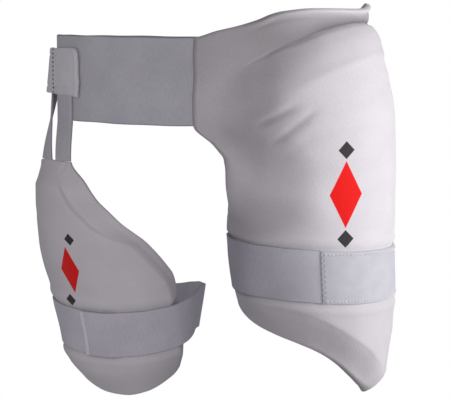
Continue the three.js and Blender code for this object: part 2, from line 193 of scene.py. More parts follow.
@dataclass(frozen=True)
class Waist:
    """The waist that the belt goes round."""

    width: float = 312.0
    depth: float = 224.0

    def section(self, height: Numbers) -> tuple[Numbers, Numbers, Numbers]:
        """The same ellipse at every height."""
        same = np.zeros_like(np.asarray(height, float))
        return same, same + self.width / 2.0, same + self.depth / 2.0


@dataclass(frozen=True)
class OuterThigh:
    """The hip under the belt, which turns into the outer thigh lower down."""

    waist: Waist = Waist()
    width: float = 151.0
    depth: float = 156.0
    centre: float = 95.5
    drop: float = 336.0
    turns_in: Pair = (0.12, 0.444)
    reach: Curve = Curve((
        (-0.29, 0.22), (-0.067, 0.26), (0.0, 0.48), (0.087, 0.83), (0.207, 1.0), (0.328, 1.03),
        (0.434, 1.0), (0.5, 0.96), (0.62, 1.02), (0.69, 1.06), (0.762, 0.97), (0.84, 0.73),
        (0.9, 0.58), (1.0, 0.43),
    ))
    carried: Curve = Curve((
        (-0.29, 1.0), (0.434, 1.0), (0.5, 1.01), (0.665, 1.04), (0.762, 1.06), (0.84, 1.075),
        (0.9, 1.085), (1.0, 1.095),
    ))

    def section(self, height: Numbers) -> tuple[Numbers, Numbers, Numbers]:
        """The waist's ellipse above, the thigh's below, and one turning into the other.

        Args:
            height: millimetres above the origin.

        Returns:
            The middle's x, half the width and half the depth.
        """
        share = -np.asarray(height, float) / self.drop
        turned = eased(*self.turns_in, share)
        side_of_waist = self.waist.width / 2.0
        side_of_thigh = self.centre + self.width / 2.0
        side = side_of_waist + (side_of_thigh - side_of_waist) * self.reach.at(share)
        x = self.centre * turned * self.carried.at(share)
        half_depth = self.waist.depth / 2.0 * (1.0 - turned) + self.depth / 2.0 * turned
        return x, side - x, half_depth


@dataclass(frozen=True)
class InnerThigh:
    """The thigh under the small guard."""

    width: float = 160.0
    depth: float = 176.0
    centre: float = -80.0
    drop: float = 322.0
    left: Curve = Curve((
        (0.18, 1.18), (0.255, 1.16), (0.326, 1.085), (0.425, 1.075), (0.53, 1.045), (0.6, 0.99),
        (0.67, 0.91), (0.72, 0.875), (0.81, 0.79), (0.91, 0.72), (1.03, 0.56),
    ))
    right: Curve = Curve((
        (0.18, 1.1), (0.255, 1.08), (0.326, 1.06), (0.425, 1.03), (0.53, 0.99), (0.6, 0.95),
        (0.67, 0.91), (0.72, 0.88), (0.81, 0.82), (0.91, 0.755), (1.03, 0.71),
    ))
    fullness: Curve = Curve((
        (0.18, 1.0), (0.255, 1.0), (0.326, 0.98), (0.425, 0.96), (0.53, 0.92), (0.6, 0.89),
        (0.67, 0.87), (0.72, 0.84), (0.81, 0.78), (0.91, 0.71), (1.03, 0.65),
    ))

    def section(self, height: Numbers) -> tuple[Numbers, Numbers, Numbers]:
        """An ellipse that narrows towards the knee.

        Args:
            height: millimetres above the origin.

        Returns:
            The middle's x, half the width and half the depth.
        """
        share = -np.asarray(height, float) / self.drop
        left = self.centre - self.width / 2.0 * self.left.at(share)
        right = self.centre + self.width / 2.0 * self.right.at(share)
        half_depth = self.depth / 2.0 * self.fullness.at(share)
        return (left + right) / 2.0, (right - left) / 2.0, half_depth


def girth_radius(body: Body, height: Numbers | float) -> Numbers:
    """The mean radius of a section, which turns degrees into lengths."""
    _, half_width, half_depth = body.section(np.asarray(height, float))
    return (half_width + half_depth) / 2.0


# Meshes


def mesh_object(
    name: str, points: Numbers, faces: Numbers, places: Numbers, marks: dict[str, Numbers]
) -> bpy.types.Object:
    """Makes a smooth mesh object with its pattern's places as its UV map.

    Args:
        name: the piece's name.
        points: one row of millimetres a point.
        faces: one row of four point numbers a face.
        places: one row a point, the pattern's place there in millimetres.
        marks: values that each point carries for the finishes, by their names.

    Returns:
        The object, linked to the scene.
    """
    mesh = bpy.data.meshes.new(name)
    mesh.vertices.add(len(points))
    mesh.vertices.foreach_set("co", (points * MM).astype(np.float32).ravel())
    mesh.loops.add(faces.size)
    mesh.loops.foreach_set("vertex_index", faces.astype(np.int32).ravel())
    mesh.polygons.add(len(faces))
    mesh.polygons.foreach_set("loop_start", np.arange(0, faces.size, 4, dtype=np.int32))
    mesh.update(calc_edges=True)
    pattern = mesh.uv_layers.new(name=WEAVE)
    pattern.data.foreach_set("uv", (places[faces.ravel()] * MM).astype(np.float32).ravel())
    for mark, values in marks.items():
        carried = mesh.attributes.new(mark, "FLOAT", "POINT")
        carried.data.foreach_set("value", values.astype(np.float32))
    mesh.validate()
    shaped = bmesh.new()
    shaped.from_mesh(mesh)
    bmesh.ops.recalc_face_normals(shaped, faces=shaped.faces)
    shaped.to_mesh(mesh)
    shaped.free()
    mesh.polygons.foreach_set("use_smooth", np.ones(len(mesh.polygons), bool))
    thing = bpy.data.objects.new(name, mesh)
    bpy.context.scene.collection.objects.link(thing)
    return thing


def between_sheets(
    name: str, inside: Numbers, outside: Numbers, places: Numbers, painted_shade_grid: Numbers | None = None
) -> bpy.types.Object:
    """A closed solid between two grids of points.

    Args:
        name: the piece's name.
        inside: rows by columns of points on the body's side.
        outside: the same grid on the outer side.
        places: rows by columns of pattern places.
        painted_shade_grid: rows by columns of how much painted shade darkens the outer side.

    Returns:
        The solid's object.
    """
    rows, columns = inside.shape[:2]
    number = np.arange(rows * columns).reshape(rows, columns)
    other = number + rows * columns

    def quads(grid: Numbers) -> Numbers:
        """The faces of one grid of point numbers."""
        corners = [grid[:-1, :-1], grid[1:, :-1], grid[1:, 1:], grid[:-1, 1:]]
        return np.stack([c.ravel() for c in corners], axis=1)

    def wall(near: Numbers, far: Numbers) -> Numbers:
        """The faces between two lines of point numbers."""
        return np.stack([near[:-1], near[1:], far[1:], far[:-1]], axis=1)

    faces = [
        quads(other), quads(number)[:, ::-1],
        wall(number[0], other[0]), wall(other[-1], number[-1]),
        wall(other[:, 0], number[:, 0]), wall(number[:, -1], other[:, -1]),
    ]
    points = np.concatenate([inside.reshape(-1, 3), outside.reshape(-1, 3)])
    pattern = np.concatenate([places.reshape(-1, 2)] * 2)
    marks = {}
    # The outer side carries the painted shade, and the inner side carries none.
    if painted_shade_grid is not None:
        bare = np.zeros(painted_shade_grid.size)
        marks[PAINTED_SHADE_KEY] = np.concatenate([bare, painted_shade_grid.ravel()])
        marks[OUTER_SIDE] = np.concatenate([bare, bare + 1.0])
    return mesh_object(name, points, np.concatenate(faces), pattern, marks)


# Finishes


class Value:
    """A number socket that takes part in arithmetic."""

    def __init__(self, shader: Shader, socket: bpy.types.NodeSocket) -> None:
        """Wraps a socket of a shader."""
        self.shader = shader
        self.socket = socket

    def maths(
        self, operation: str, *others: Value | float, first: Value | float | None = None
    ) -> Value:
        """Adds one Math node.

        Args:
            operation: what the node does.
            others: the numbers after the first.
            first: the first number, if it isn't this value.

        Returns:
            The node's result.
        """
        numbers = [self if first is None else first, *others]
        sockets = {k: (n.socket if isinstance(n, Value) else n) for k, n in enumerate(numbers)}
        made = self.shader.node("ShaderNodeMath", {"operation": operation}, sockets)
        return Value(self.shader, made.outputs[0])

    def __add__(self, other: Value | float) -> Value:
        """This plus other."""
        return self.maths("ADD", other)

    __radd__ = __add__

    def __sub__(self, other: Value | float) -> Value:
        """This minus other."""
        return self.maths("SUBTRACT", other)

    def __rsub__(self, other: float) -> Value:
        """Other minus this."""
        return self.maths("SUBTRACT", self, first=other)

    def __mul__(self, other: Value | float) -> Value:
        """This times other."""
        return self.maths("MULTIPLY", other)

    __rmul__ = __mul__

    def __truediv__(self, other: Value | float) -> Value:
        """This over other."""
        return self.maths("DIVIDE", other)

    def sine(self) -> Value:
        """The sine of this, in radians."""
        return self.maths("SINE")

    def size(self) -> Value:
        """This without its sign."""
        return self.maths("ABSOLUTE")

    def at_most(self, other: Value | float) -> Value:
        """The smaller of this and other."""
        return self.maths("MINIMUM", other)

    def at_least(self, other: Value | float) -> Value:
        """The larger of this and other."""
        return self.maths("MAXIMUM", other)

    def between(self, low: float, high: float) -> Value:
        """Goes from 0 to 1 while this goes from low to high."""
        return ((self - low) / (high - low)).at_most(1.0).at_least(0.0)


class Shader:
    """A material's nodes, made one after another."""

    def __init__(self, name: str) -> None:
        """Starts a material with one principled surface.

        Args:
            name: the material's name.
        """
        self.material = bpy.data.materials.new(name)
        self.material.use_nodes = True
        self.nodes = self.material.node_tree.nodes
        self.links = self.material.node_tree.links
        self.surface = next(n for n in self.nodes if n.type == "BSDF_PRINCIPLED")

    def node(self, kind: str, settings: dict[str, object], sockets: dict) -> bpy.types.Node:
        """Adds a node.

        Args:
            kind: the node's type.
            settings: its settings, with a ramp's stops as "stops".
            sockets: a number, colour, Value or socket for each input.

        Returns:
            The node.
        """
        made = self.nodes.new(kind)
        for key, setting in settings.items():
            if key == "stops":
                ramp = made.color_ramp
                while len(ramp.elements) < len(setting):
                    ramp.elements.new(0.5)
                for element, (place, colour) in zip(ramp.elements, setting):
                    element.position = place
                    element.color = colour
            else:
                setattr(made, key, setting)
        for key, given in sockets.items():
            self.feed(made.inputs[key], given)
        return made

    def feed(self, socket: bpy.types.NodeSocket, given: object) -> None:
        """Links or sets one input.

        Args:
            socket: the input.
            given: a number, colour, Value or socket for it.
        """
        source = given.socket if isinstance(given, Value) else given
        if isinstance(source, bpy.types.NodeSocket):
            self.links.new(source, socket)
        else:
            socket.default_value = source

    def weave(self) -> tuple[Value, Value]:
        """The place along and across the cloth.

        Returns:
            Two values in metres.
        """
        pattern = self.node("ShaderNodeUVMap", {"uv_map": WEAVE}, {})
        split = self.node("ShaderNodeSeparateXYZ", {}, {0: pattern.outputs[0]})
        return Value(self, split.outputs[0]), Value(self, split.outputs[1])

    def mark(self, name: str) -> Value:
        """A value that the mesh's points carry."""
        given = self.node("ShaderNodeAttribute", {"attribute_name": name}, {})
        return Value(self, given.outputs["Fac"])

    def spot(self) -> tuple[Value, Value, Value]:
        """The place on the piece.

        Returns:
            Its x, y and z in metres.
        """
        given = self.node("ShaderNodeTexCoord", {}, {})
        split = self.node("ShaderNodeSeparateXYZ", {}, {0: given.outputs["Object"]})
        return tuple(Value(self, split.outputs[k]) for k in range(3))

    def noise(self, along: Value, across: Value, finest: float, detail: float = 2.0) -> Value:
        """Cloudy noise over the cloth.

        Args:
            along: the place along the cloth.
            across: the place across it.
            finest: how many clouds fit in a metre.
            detail: how many finer layers are added.

        Returns:
            A value about 0.5.
        """
        place = self.node("ShaderNodeCombineXYZ", {}, {0: along, 1: across})
        given = {"Vector": place.outputs[0], "Scale": finest, "Detail": detail}
        cloud = self.node("ShaderNodeTexNoise", {"noise_dimensions": "2D"}, given)
        return Value(self, cloud.outputs[0])

    def mixed(self, share: Value, first: object, second: object) -> bpy.types.NodeSocket:
        """One colour turning into another as share goes from 0 to 1."""
        given = {"Factor": share, 6: first, 7: second}
        return self.node("ShaderNodeMix", {"data_type": "RGBA"}, given).outputs[2]

    def finished(
        self, height: Value, distance: float, strength: float, inputs: dict[str, object]
    ) -> bpy.types.Material:
        """Bumps the surface by a height and feeds its other inputs.

        Args:
            height: the bumps' height, as shares of distance.
            distance: the height of a whole bump, in metres.
            strength: how strongly the bumps show.
            inputs: what each of the surface's other inputs takes.

        Returns:
            The finished material.
        """
        bumps = {"Strength": strength, "Distance": distance, "Height": height}
        normal = self.node("ShaderNodeBump", {}, bumps).outputs[0]
        for key, given in {**inputs, "Normal": normal}.items():
            self.feed(self.surface.inputs[key], given)
        return self.material


@dataclass(frozen=True)
class Lozenge:
    """A printed lozenge on a guard's front, placed in millimetres as seen from the front."""

    aside: float
    height: float
    half_width: float
    half_height: float
    colour: Colour


RED = (0.92, 0.004, 0.002, 1.0)
GREY = (0.045, 0.04, 0.043, 1.0)


def scaled(colour: Colour, share: float) -> Colour:
    """A colour made darker or lighter, but never past white."""
    return tuple(min(1.0, part * share) for part in colour[:3]) + (1.0,)


@dataclass(frozen=True)
class KnitFinish:
    """Brushed knit stretched over foam, with its printed lozenges and painted shade."""

    name: str
    prints: tuple[Lozenge, ...]
    print_lean: float = 0.0
    colour: Colour = (0.79, 0.765, 0.79, 1.0)
    shade: Colour = (0.70, 0.675, 0.70, 1.0)
    # The near-black grey that painted shade darkens the knit towards.
    painted_shade_colour: Colour = (0.12, 0.11, 0.12, 1.0)

    def make(self) -> bpy.types.Material:
        """Makes the material.

        Returns:
            The knit's material.
        """
        shader = Shader(self.name)
        along, across = shader.weave()
        clouds = shader.noise(along, across, 38.0, 3.0)
        grain = shader.noise(along, across, 620.0)
        wales = ((along + across * 0.35) * 6900.0).sine()
        tone = clouds.between(0.3, 0.72) * 0.45 + grain.between(0.35, 0.7) * 0.4
        colour = shader.mixed(tone, self.colour, self.shade)
        # Painted shade: each point's painted-shade share darkens the knit towards a near-black
        # grey.
        colour = shader.mixed(shader.mark(PAINTED_SHADE_KEY), colour, self.painted_shade_colour)
        x, y, z = shader.spot()
        front = (y * -1.0).between(0.0, MM) * shader.mark(OUTER_SIDE).between(0.9, 1.0)
        for lozenge in self.prints:
            level = z - lozenge.height * MM
            aside = (x - lozenge.aside * MM + level * self.print_lean).size()
            reach = aside / (lozenge.half_width * MM) + level.size() / (lozenge.half_height * MM)
            colour = shader.mixed((1.0 - reach.between(0.965, 1.0)) * front, colour, lozenge.colour)
        return shader.finished(wales * 0.06 + grain * 0.7 + clouds * 1.5, 0.0005, 0.5, {
            "Base Color": colour, "Roughness": 0.86 + 0.1 * grain, "Sheen Weight": 0.25,
            "Sheen Roughness": 0.5, "Specular IOR Level": 0.25,
        })


@dataclass(frozen=True)
class ElasticFinish:
    """Ribbed woven elastic with a darker, tighter edge."""

    name: str
    half_height: float
    colour: Colour = (0.72, 0.705, 0.775, 1.0)
    shade: Colour = (0.59, 0.575, 0.635, 1.0)

    def make(self) -> bpy.types.Material:
        """Makes the material.

        Returns:
            The elastic's material.
        """
        shader = Shader(self.name)
        along, across = shader.weave()
        slubs = shader.noise(along, across * 0.2, 900.0)
        clouds = shader.noise(along, across, 30.0)
        ribs = (along * 6300.0).sine()
        edge = (across.size() / (self.half_height * MM)).between(0.965, 0.985)
        tone = slubs.between(0.34, 0.68) * 0.4 + clouds.between(0.3, 0.7) * 0.45
        colour = shader.mixed(tone, self.colour, self.shade)
        colour = shader.mixed(edge * 0.8, colour, scaled(self.shade, 0.72))
        return shader.finished(ribs * 0.05 + slubs * 0.7, 0.0004, 0.4, {
            "Base Color": colour, "Roughness": 0.78 + 0.15 * slubs, "Sheen Weight": 0.15,
            "Specular IOR Level": 0.3,
        })


@dataclass(frozen=True)
class LoopFinish:
    """Brushed loop cloth of the tabs and the hook-and-loop ends."""

    name: str
    colour: Colour = (0.90, 0.89, 0.935, 1.0)
    shade: Colour = (0.78, 0.77, 0.82, 1.0)

    def make(self) -> bpy.types.Material:
        """Makes the material.

        Returns:
            The loop cloth's material.
        """
        shader = Shader(self.name)
        along, across = shader.weave()
        fuzz = shader.noise(along, across, 900.0, 3.0)
        clouds = shader.noise(along, across, 70.0)
        tone = fuzz.between(0.35, 0.7) * 0.6 + clouds.between(0.35, 0.65) * 0.4
        return shader.finished(fuzz * 0.9 + clouds * 0.8, 0.0005, 0.5, {
            "Base Color": shader.mixed(tone, self.colour, self.shade),
            "Roughness": 0.85 + 0.1 * fuzz, "Sheen Weight": 0.35, "Specular IOR Level": 0.25,
        })


@dataclass(frozen=True)
class ThreadFinish:
    """Twisted sewing thread."""

    name: str
    colour: Colour

    def make(self) -> bpy.types.Material:
        """Makes the material.

        Returns:
            The thread's material.
        """
        shader = Shader(self.name)
        along, across = shader.weave()
        twist = ((along + across) * 9000.0).sine()
        tone = shader.mixed(twist.between(-1.0, 1.0), self.colour, scaled(self.colour, 1.12))
        return shader.finished(twist, 0.0001, 0.4, {"Base Color": tone, "Roughness": 0.7})


def dress(
    piece: bpy.types.Object, slot: str, material: bpy.types.Material, *replaced: str
) -> None:
    """Gives a piece its material and its body, and hides what it stands for.

    Args:
        piece: the finished piece.
        slot: the record's material slot; not used.
        material: the piece's finish.
        replaced: the solids that the piece stands for.
    """
    piece.data.materials.clear()
    piece.data.materials.append(material)
    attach(piece, BODY)
    if replaced:
        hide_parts(*replaced)
    log.info("%s: %d faces", piece.name, len(piece.data.polygons))


# Stitches


class Seam(Enum):
    """How a line of stitches is sewn."""

    STRAIGHT = "straight"
    ZIGZAG = "zigzag"


@dataclass(frozen=True)
class Line:
    """A line to sew, with place giving the points at distances along it and aside of it."""

    place: Surface
    length: float
    seam: Seam = Seam.STRAIGHT


@dataclass(frozen=True)
class Stitching:
    """Lines of thread sewn through a surface, each stitch a bowed spindle.

    Widths and lifts are shares of the thread's thickness at the shares along a stitch.
    """

    thread: ThreadFinish
    length: float
    gap: float
    thickness: float
    swing: float = 0.0
    sides: int = 6
    along: tuple[float, ...] = (0.0, 0.18, 0.5, 0.82, 1.0)
    widths: tuple[float, ...] = (0.25, 0.85, 1.0, 0.85, 0.25)
    lifts: tuple[float, ...] = (-0.25, 0.28, 0.42, 0.28, -0.25)

    def spindle(self, middle: Numbers, out: Numbers) -> Numbers:
        """The points of one stitch.

        Args:
            middle: the points along its middle.
            out: the direction out of the surface.

        Returns:
            One ring of points for each point of the middle.
        """
        ahead = np.gradient(middle, axis=0)
        ahead /= np.linalg.norm(ahead, axis=1, keepdims=True)
        side = np.cross(ahead, out)[:, None]
        width = np.array(self.widths)[:, None] * self.thickness / 2.0
        lift = np.array(self.lifts)[:, None, None] * self.thickness
        angle = np.radians(np.arange(self.sides) * 360.0 / self.sides)
        beside, above = width * np.cos(angle), width * np.sin(angle)
        return middle[:, None] + lift * out + beside[..., None] * side + above[..., None] * out

    def faces(self, count: int) -> Numbers:
        """The faces of a number of stitches, each a tube with two ends.

        Args:
            count: how many stitches there are.

        Returns:
            One row of four point numbers a face.
        """
        points = len(self.along) * self.sides
        ring = np.arange(points).reshape(-1, self.sides)
        turned = np.roll(ring, -1, axis=1)
        tube = np.stack([ring[:-1], turned[:-1], turned[1:], ring[1:]], axis=-1).reshape(-1, 4)
        ends = ring[[0, -1]][:, [0, 1, 2, 3, 0, 3, 4, 5]].reshape(-1, 4)
        one = np.concatenate([tube, ends])
        return (one + points * np.arange(count)[:, None, None]).reshape(-1, 4)

    def sew(self, name: str, slot: str, *lines: Line) -> None:
        """Makes every stitch of several lines as one piece and dresses it.

        Args:
            name: the piece's name.
            slot: the record's material slot.
            lines: the lines to sew.
        """
        along = np.array(self.along)
        stitches = []
        for line in lines:
            count = max(1, int(line.length / (self.length + self.gap)))
            long, swing = self.length, 0.0
            starts = np.linspace(0.0, line.length - self.length, count)
            if line.seam is Seam.ZIGZAG:
                long, swing = line.length / count, self.swing
                starts = np.arange(count) * long
            for k, start in enumerate(starts):
                aside = swing * (2.0 * along - 1.0) * (1.0 if k % 2 else -1.0)
                corner = line.place(start + np.array([0.0, 1.0, 0.0]), np.array([0.0, 0.0, 1.0]))
                out = np.cross(corner[1] - corner[0], corner[2] - corner[0])
                middle = line.place(start + along * long, aside)
                stitches.append(self.spindle(middle, out / np.linalg.norm(out)))
        points = np.concatenate(stitches).reshape(-1, 3)
        piece = mesh_object(name, points, self.faces(len(stitches)), points[:, [0, 2]], {})
        dress(piece, slot, self.thread.make())


# The guards


@dataclass(frozen=True)
class Spots:
    """Places on a guard: the share across it, the turn, the height, and x and y on the body,
    then the distances from the guard's top, foot, inner edge and outer edge."""

    across: Numbers
    turn: Numbers
    height: Numbers
    x: Numbers
    y: Numbers
    top: Numbers
    foot: Numbers
    inner: Numbers
    outer: Numbers


@dataclass(kw_only=True)
class Guard:
    """A padded guard: a sheet of foam in knit cloth round a thigh.

    Across goes from its inner edge to its outer edge, down from its top to its foot. Both
    edges are turns over the share down. The top lies at top_level + top_rise * top_edge and
    the foot at -drop * foot_edge, over the share across. Waves are the height of its slight
    unevenness and how fast that changes. Each curve ending in share scales a size across it.
    """

    name: str
    knit: str
    body: Body
    prints: tuple[Lozenge, ...]
    print_lean: float = 0.0
    inner_edge: Curve
    outer_edge: Curve
    top_edge: Curve
    foot_edge: Curve
    top_level: float
    top_rise: float
    drop: float
    rim: float
    foam: float
    columns: int
    rows: int
    strap_drop: float
    strap_height: float
    folds: tuple[Fold, ...]
    waves: tuple[float, float, float, float, float]
    edge_round: float
    edge_thickness: float
    press: float = 2.2
    pressed_least: float = 2.6
    fill: float = 0.8
    search_steps: int = 24

    def fullness(self, at: Spots) -> Numbers:
        """How much of the foam stands, from 0 to 1."""
        raise NotImplementedError

    def relief(self, at: Spots) -> Numbers:
        """Millimetres added for beads, creases and wrinkles."""
        raise NotImplementedError

    def painted_shade(self, at: Spots) -> Numbers:
        """How much painted shade darkens the cloth, from 0 to 1."""
        raise NotImplementedError

    def strap_level(self, turn: Numbers) -> Numbers:
        """The height of the middle of the strap that presses the foam."""
        raise NotImplementedError

    def edge(self, at: Spots) -> Numbers:
        """The thickness of the edge itself."""
        return self.edge_thickness + 0.0 * at.height

    def top(self, across: Numbers | float) -> Numbers:
        """The top edge's height."""
        return self.top_level + self.top_rise * self.top_edge.at(across)

    def foot(self, across: Numbers | float) -> Numbers:
        """The bottom edge's height."""
        return -self.drop * self.foot_edge.at(across)

    def folded(self, at: Spots) -> Numbers:
        """How deep the pulled folds lie, which only the front has."""
        return pulled(self.folds, at.x, at.height) * (at.y < 0.0)

    def uneven(self, at: Spots) -> Numbers:
        """The slight unevenness of a worn pad."""
        tall, a, b, c, d = self.waves
        return tall * np.sin(at.x * a + at.height * b) * np.sin(at.height * c - at.y * d)

    def spots(self, across: Numbers, down: Numbers) -> Spots:
        """The places at shares across and down.

        Args:
            across: shares from the inner edge to the outer edge.
            down: shares from the top to the foot.

        Returns:
            The places.
        """
        first, last = self.inner_edge.at(down), self.outer_edge.at(down)
        turn = first + (last - first) * across
        top, foot = self.top(across), self.foot(across)
        height = top + (foot - top) * down
        x, y, _ = np.moveaxis(on_body(self.body, turn, height, 0.0), -1, 0)
        radius = girth_radius(self.body, height)
        from_inner = np.radians(np.abs(turn - first)) * radius
        from_outer = np.radians(np.abs(last - turn)) * radius
        return Spots(
            across, turn, height, x, y, top - height, height - foot, from_inner, from_outer
        )

    def thickness(self, at: Spots) -> Numbers:
        """The guard's thickness, which its strap and its edges press thin.

        Args:
            at: the places.

        Returns:
            Millimetres.
        """
        share = self.fullness(at)
        pad = self.rim + self.foam * share + self.relief(at)
        away = np.abs(at.height - self.strap_level(at.turn)) - self.strap_height / 2.0
        under = 1.0 - eased(-0.5, 4.5, away)
        bulge = 1.1 * hump(8.0, 4.0, away) * share
        pad = np.maximum(pad - self.press * under, self.pressed_least) + bulge
        nearest = np.minimum.reduce([at.top, at.foot, at.inner, at.outer])
        thin = self.edge(at)
        return thin + (pad - thin) * rounded(nearest, self.edge_round)

    def under(self, turn: Numbers, height: Numbers) -> Numbers:
        """The guard's thickness at turns and heights, and 0 past its edges.

        Args:
            turn: degrees round the body.
            height: millimetres above the origin.

        Returns:
            Millimetres.
        """
        across = np.full(turn.shape, 0.5)
        down = across
        for _ in range(self.search_steps):
            top, foot = self.top(across), self.foot(across)
            down = np.clip((top - height) / (top - foot), 0.0, 1.0)
            first, last = self.inner_edge.at(down), self.outer_edge.at(down)
            across = (turn - first) / (last - first)
        within = (across >= 0.0) & (across <= 1.0)
        thickness = self.thickness(self.spots(np.clip(across, 0.0, 1.0), down))
        return np.where(within, thickness, 0.0)

    def build(self) -> None:
        """Makes the guard and dresses it."""
        across, down = np.meshgrid(graded(self.columns, 0.55), graded(self.rows, 0.6))
        at = self.spots(across, down)
        inside = on_body(self.body, at.turn, at.height, 0.0)
        outside = on_body(self.body, at.turn, at.height, self.thickness(at))
        radius = float(girth_radius(self.body, self.foot(0.5) / 2.0))
        places = np.stack([np.radians(at.turn) * radius, at.height], axis=-1)
        # The cover's outer side carries the painted shade.
        piece = between_sheets(self.name + "_cover", inside, outside, places, self.painted_shade(at))
        knit = KnitFinish(self.knit, self.prints, self.print_lean)
        dress(piece, "knit", knit.make(), self.name)


@dataclass(kw_only=True)
class OuterGuard(Guard):
    """The large guard, whose wing ends at the belt's seam."""

    name: str = "outer_pad"
    knit: str = "outer_knit"
    body: Body = OuterThigh()
    prints: tuple[Lozenge, ...] = (
        Lozenge(134.0, -112.0, 17.0, 34.0, RED),
        Lozenge(134.0, -68.0, 8.5, 9.0, GREY),
        Lozenge(134.0, -156.0, 8.5, 9.0, GREY),
    )
    inner_edge: Curve = Curve((
        (0.0, 95.2), (0.07, 95.5), (0.14, 95.2), (0.22, 95.5), (0.325, 95.1), (0.39, 92.2),
        (0.43, 93.0), (0.465, 96.5), (0.52, 106.0), (0.62, 133.0), (0.67, 153.0), (0.71, 170.0),
        (0.76, 175.0), (0.82, 174.0), (0.9, 170.0), (1.0, 160.0),
    ))
    outer_edge: Curve = Curve((
        (0.0, -25.0), (0.16, -34.0), (0.32, -42.0), (0.39, -45.0), (0.43, -46.0),
        (0.465, -47.0), (0.52, -48.0), (0.76, -48.0), (0.9, -44.0), (1.0, -36.0),
    ))
    top_edge: Curve = Curve((
        (0.0, 0.02), (0.063, 0.22), (0.126, 0.39), (0.184, 0.59), (0.226, 0.78), (0.264, 0.88),
        (0.37, 0.985), (0.6, 1.0), (0.7, 1.08), (0.78, 1.22), (0.84, 1.15), (0.9, 1.0), (1.0, 0.92),
    ))
    foot_edge: Curve = Curve((
        (0.0, 0.665), (0.02, 0.702), (0.056, 0.723), (0.112, 0.742), (0.198, 0.762),
        (0.303, 0.787), (0.381, 0.811), (0.457, 0.845), (0.543, 0.893), (0.625, 0.935),
        (0.697, 0.962), (0.769, 0.981), (0.865, 1.0), (0.93, 0.985), (1.0, 0.935),
    ))
    top_level: float = 41.0
    top_rise: float = 29.0
    drop: float = 336.0
    rim: float = 5.0
    foam: float = 17.0
    columns: int = 190
    rows: int = 250
    strap_drop: float = 194.0
    strap_height: float = 53.0
    strap_tilt: float = 5.0
    strap_rise: float = 2.4
    folds: tuple[Fold, ...] = (
        (44.0, -42.0, 74.0, -25.0, 3.8, 1.5),
        (57.0, -60.0, 91.0, -30.0, 3.8, 1.5),
        (66.0, -76.0, 92.0, -54.0, 4.0, 0.35),
    )
    waves: tuple[float, float, float, float, float] = (0.35, 0.071, 0.043, 0.061, 0.05)
    edge_round: float = 3.6
    edge_thickness: float = 1.9
    sewn_thicker: float = 1.2
    flange: float = 14.5
    bevel: float = 34.0
    lip: float = 42.0
    inner_ramp: float = 68.0
    rear_border: float = 42.0
    rear_ramp: float = 20.0
    flange_share: Curve = Curve((
        (0.0, 5.6), (0.1, 3.4), (0.153, 2.6), (0.195, 2.45), (0.244, 2.3), (0.304, 2.05),
        (0.383, 1.58), (0.484, 1.17), (0.572, 1.0), (0.63, 1.0), (0.7, 1.2), (0.78, 1.45),
        (1.0, 1.6),
    ))
    bevel_share: Curve = Curve((
        (0.0, 2.9), (0.1, 2.1), (0.153, 1.74), (0.195, 1.4), (0.244, 1.26), (0.304, 1.17),
        (0.383, 1.13), (0.484, 1.05), (0.572, 1.0), (1.0, 1.0),
    ))
    lip_share: Curve = Curve((
        (0.0, 0.3), (0.1, 0.75), (0.153, 0.82), (0.195, 0.87), (0.244, 0.93), (0.304, 0.98),
        (0.383, 1.0), (0.484, 0.92), (0.572, 0.84), (0.63, 0.7), (0.7, 0.6), (0.78, 0.57),
        (1.0, 0.55),
    ))
    crease: Curve = Curve((
        (0.0, 0.0), (0.08, 0.24), (0.38, 0.6), (0.85, 0.83), (1.0, 0.87), (1.6, 1.0),
    ))
    toe: Curve = Curve(((0.0, 0.0), (0.12, 0.09), (0.86, 0.88), (1.0, 0.99), (1.1, 1.0)))
    bead: Curve = Curve(((0.12, 0.0), (0.28, 1.0), (0.7, 1.0), (0.95, 0.3)))

    def edge(self, at: Spots) -> Numbers:
        """Thicker where the wing is sewn to the belt."""
        sewn = eased(-60.0, -44.0, at.height) * (at.across < 0.5)
        return self.edge_thickness + self.sewn_thicker * sewn

    def strap_level(self, turn: Numbers) -> Numbers:
        """The large strap's middle, which rises towards the inner thigh."""
        risen = self.strap_rise * hump(120.0, 45.0, turn)
        return risen - self.strap_drop - self.strap_tilt * np.cos(np.radians(turn))

    def margins(self, across: Numbers) -> tuple[Numbers, Numbers]:
        """The heights of the flange and of the bevel under it."""
        return self.flange * self.flange_share.at(across), self.bevel * self.bevel_share.at(across)

    def fullness(self, at: Spots) -> Numbers:
        """Thin flange above, crisp bevel under it, full face, and a thin lip at the foot.

        Args:
            at: the places.

        Returns:
            Shares from 0 to 1.
        """
        flange, bevel = self.margins(at.across)
        share = (at.top - flange) / bevel
        crisp = eased(0.16, 0.38, at.across)
        below = self.crease.at(share) * crisp + eased(-0.15, 1.15, share) * (1.0 - crisp)
        risen = at.foot / (self.lip * self.lip_share.at(at.across))
        blunt = eased(0.55, 0.75, at.across)
        filled = np.clip(risen, 0.0, 1.0)
        above = self.toe.at(risen) * (1.0 - blunt) + filled * (2.0 - filled) * blunt
        beside = eased(0.0, self.inner_ramp, at.inner)
        before = eased(self.rear_border, self.rear_border + self.rear_ramp, at.outer)
        return below * above * beside * before

    def relief(self, at: Spots) -> Numbers:
        """The rolled bead along the top, a hollow flange and the pulled folds.

        Args:
            at: the places.

        Returns:
            Millimetres.
        """
        flange, bevel = self.margins(at.across)
        rolled = 1.9 * hump(2.6, 2.6, at.top) - 1.5 * hump(7.5, 2.4, at.top)
        hollow = -1.2 * hump(1.0, 0.45, np.clip(at.top / flange, 0.0, 2.0))
        groove = eased(0.1, 0.26, at.across) * hump(flange, 1.8, at.top)
        shoulder = eased(0.2, 0.36, at.across) * hump(flange + bevel * 0.9, 4.0, at.top)
        added = self.bead.at(at.across) * (rolled + hollow) - 1.7 * groove + 0.7 * shoulder
        return added - self.folded(at) + self.uneven(at)

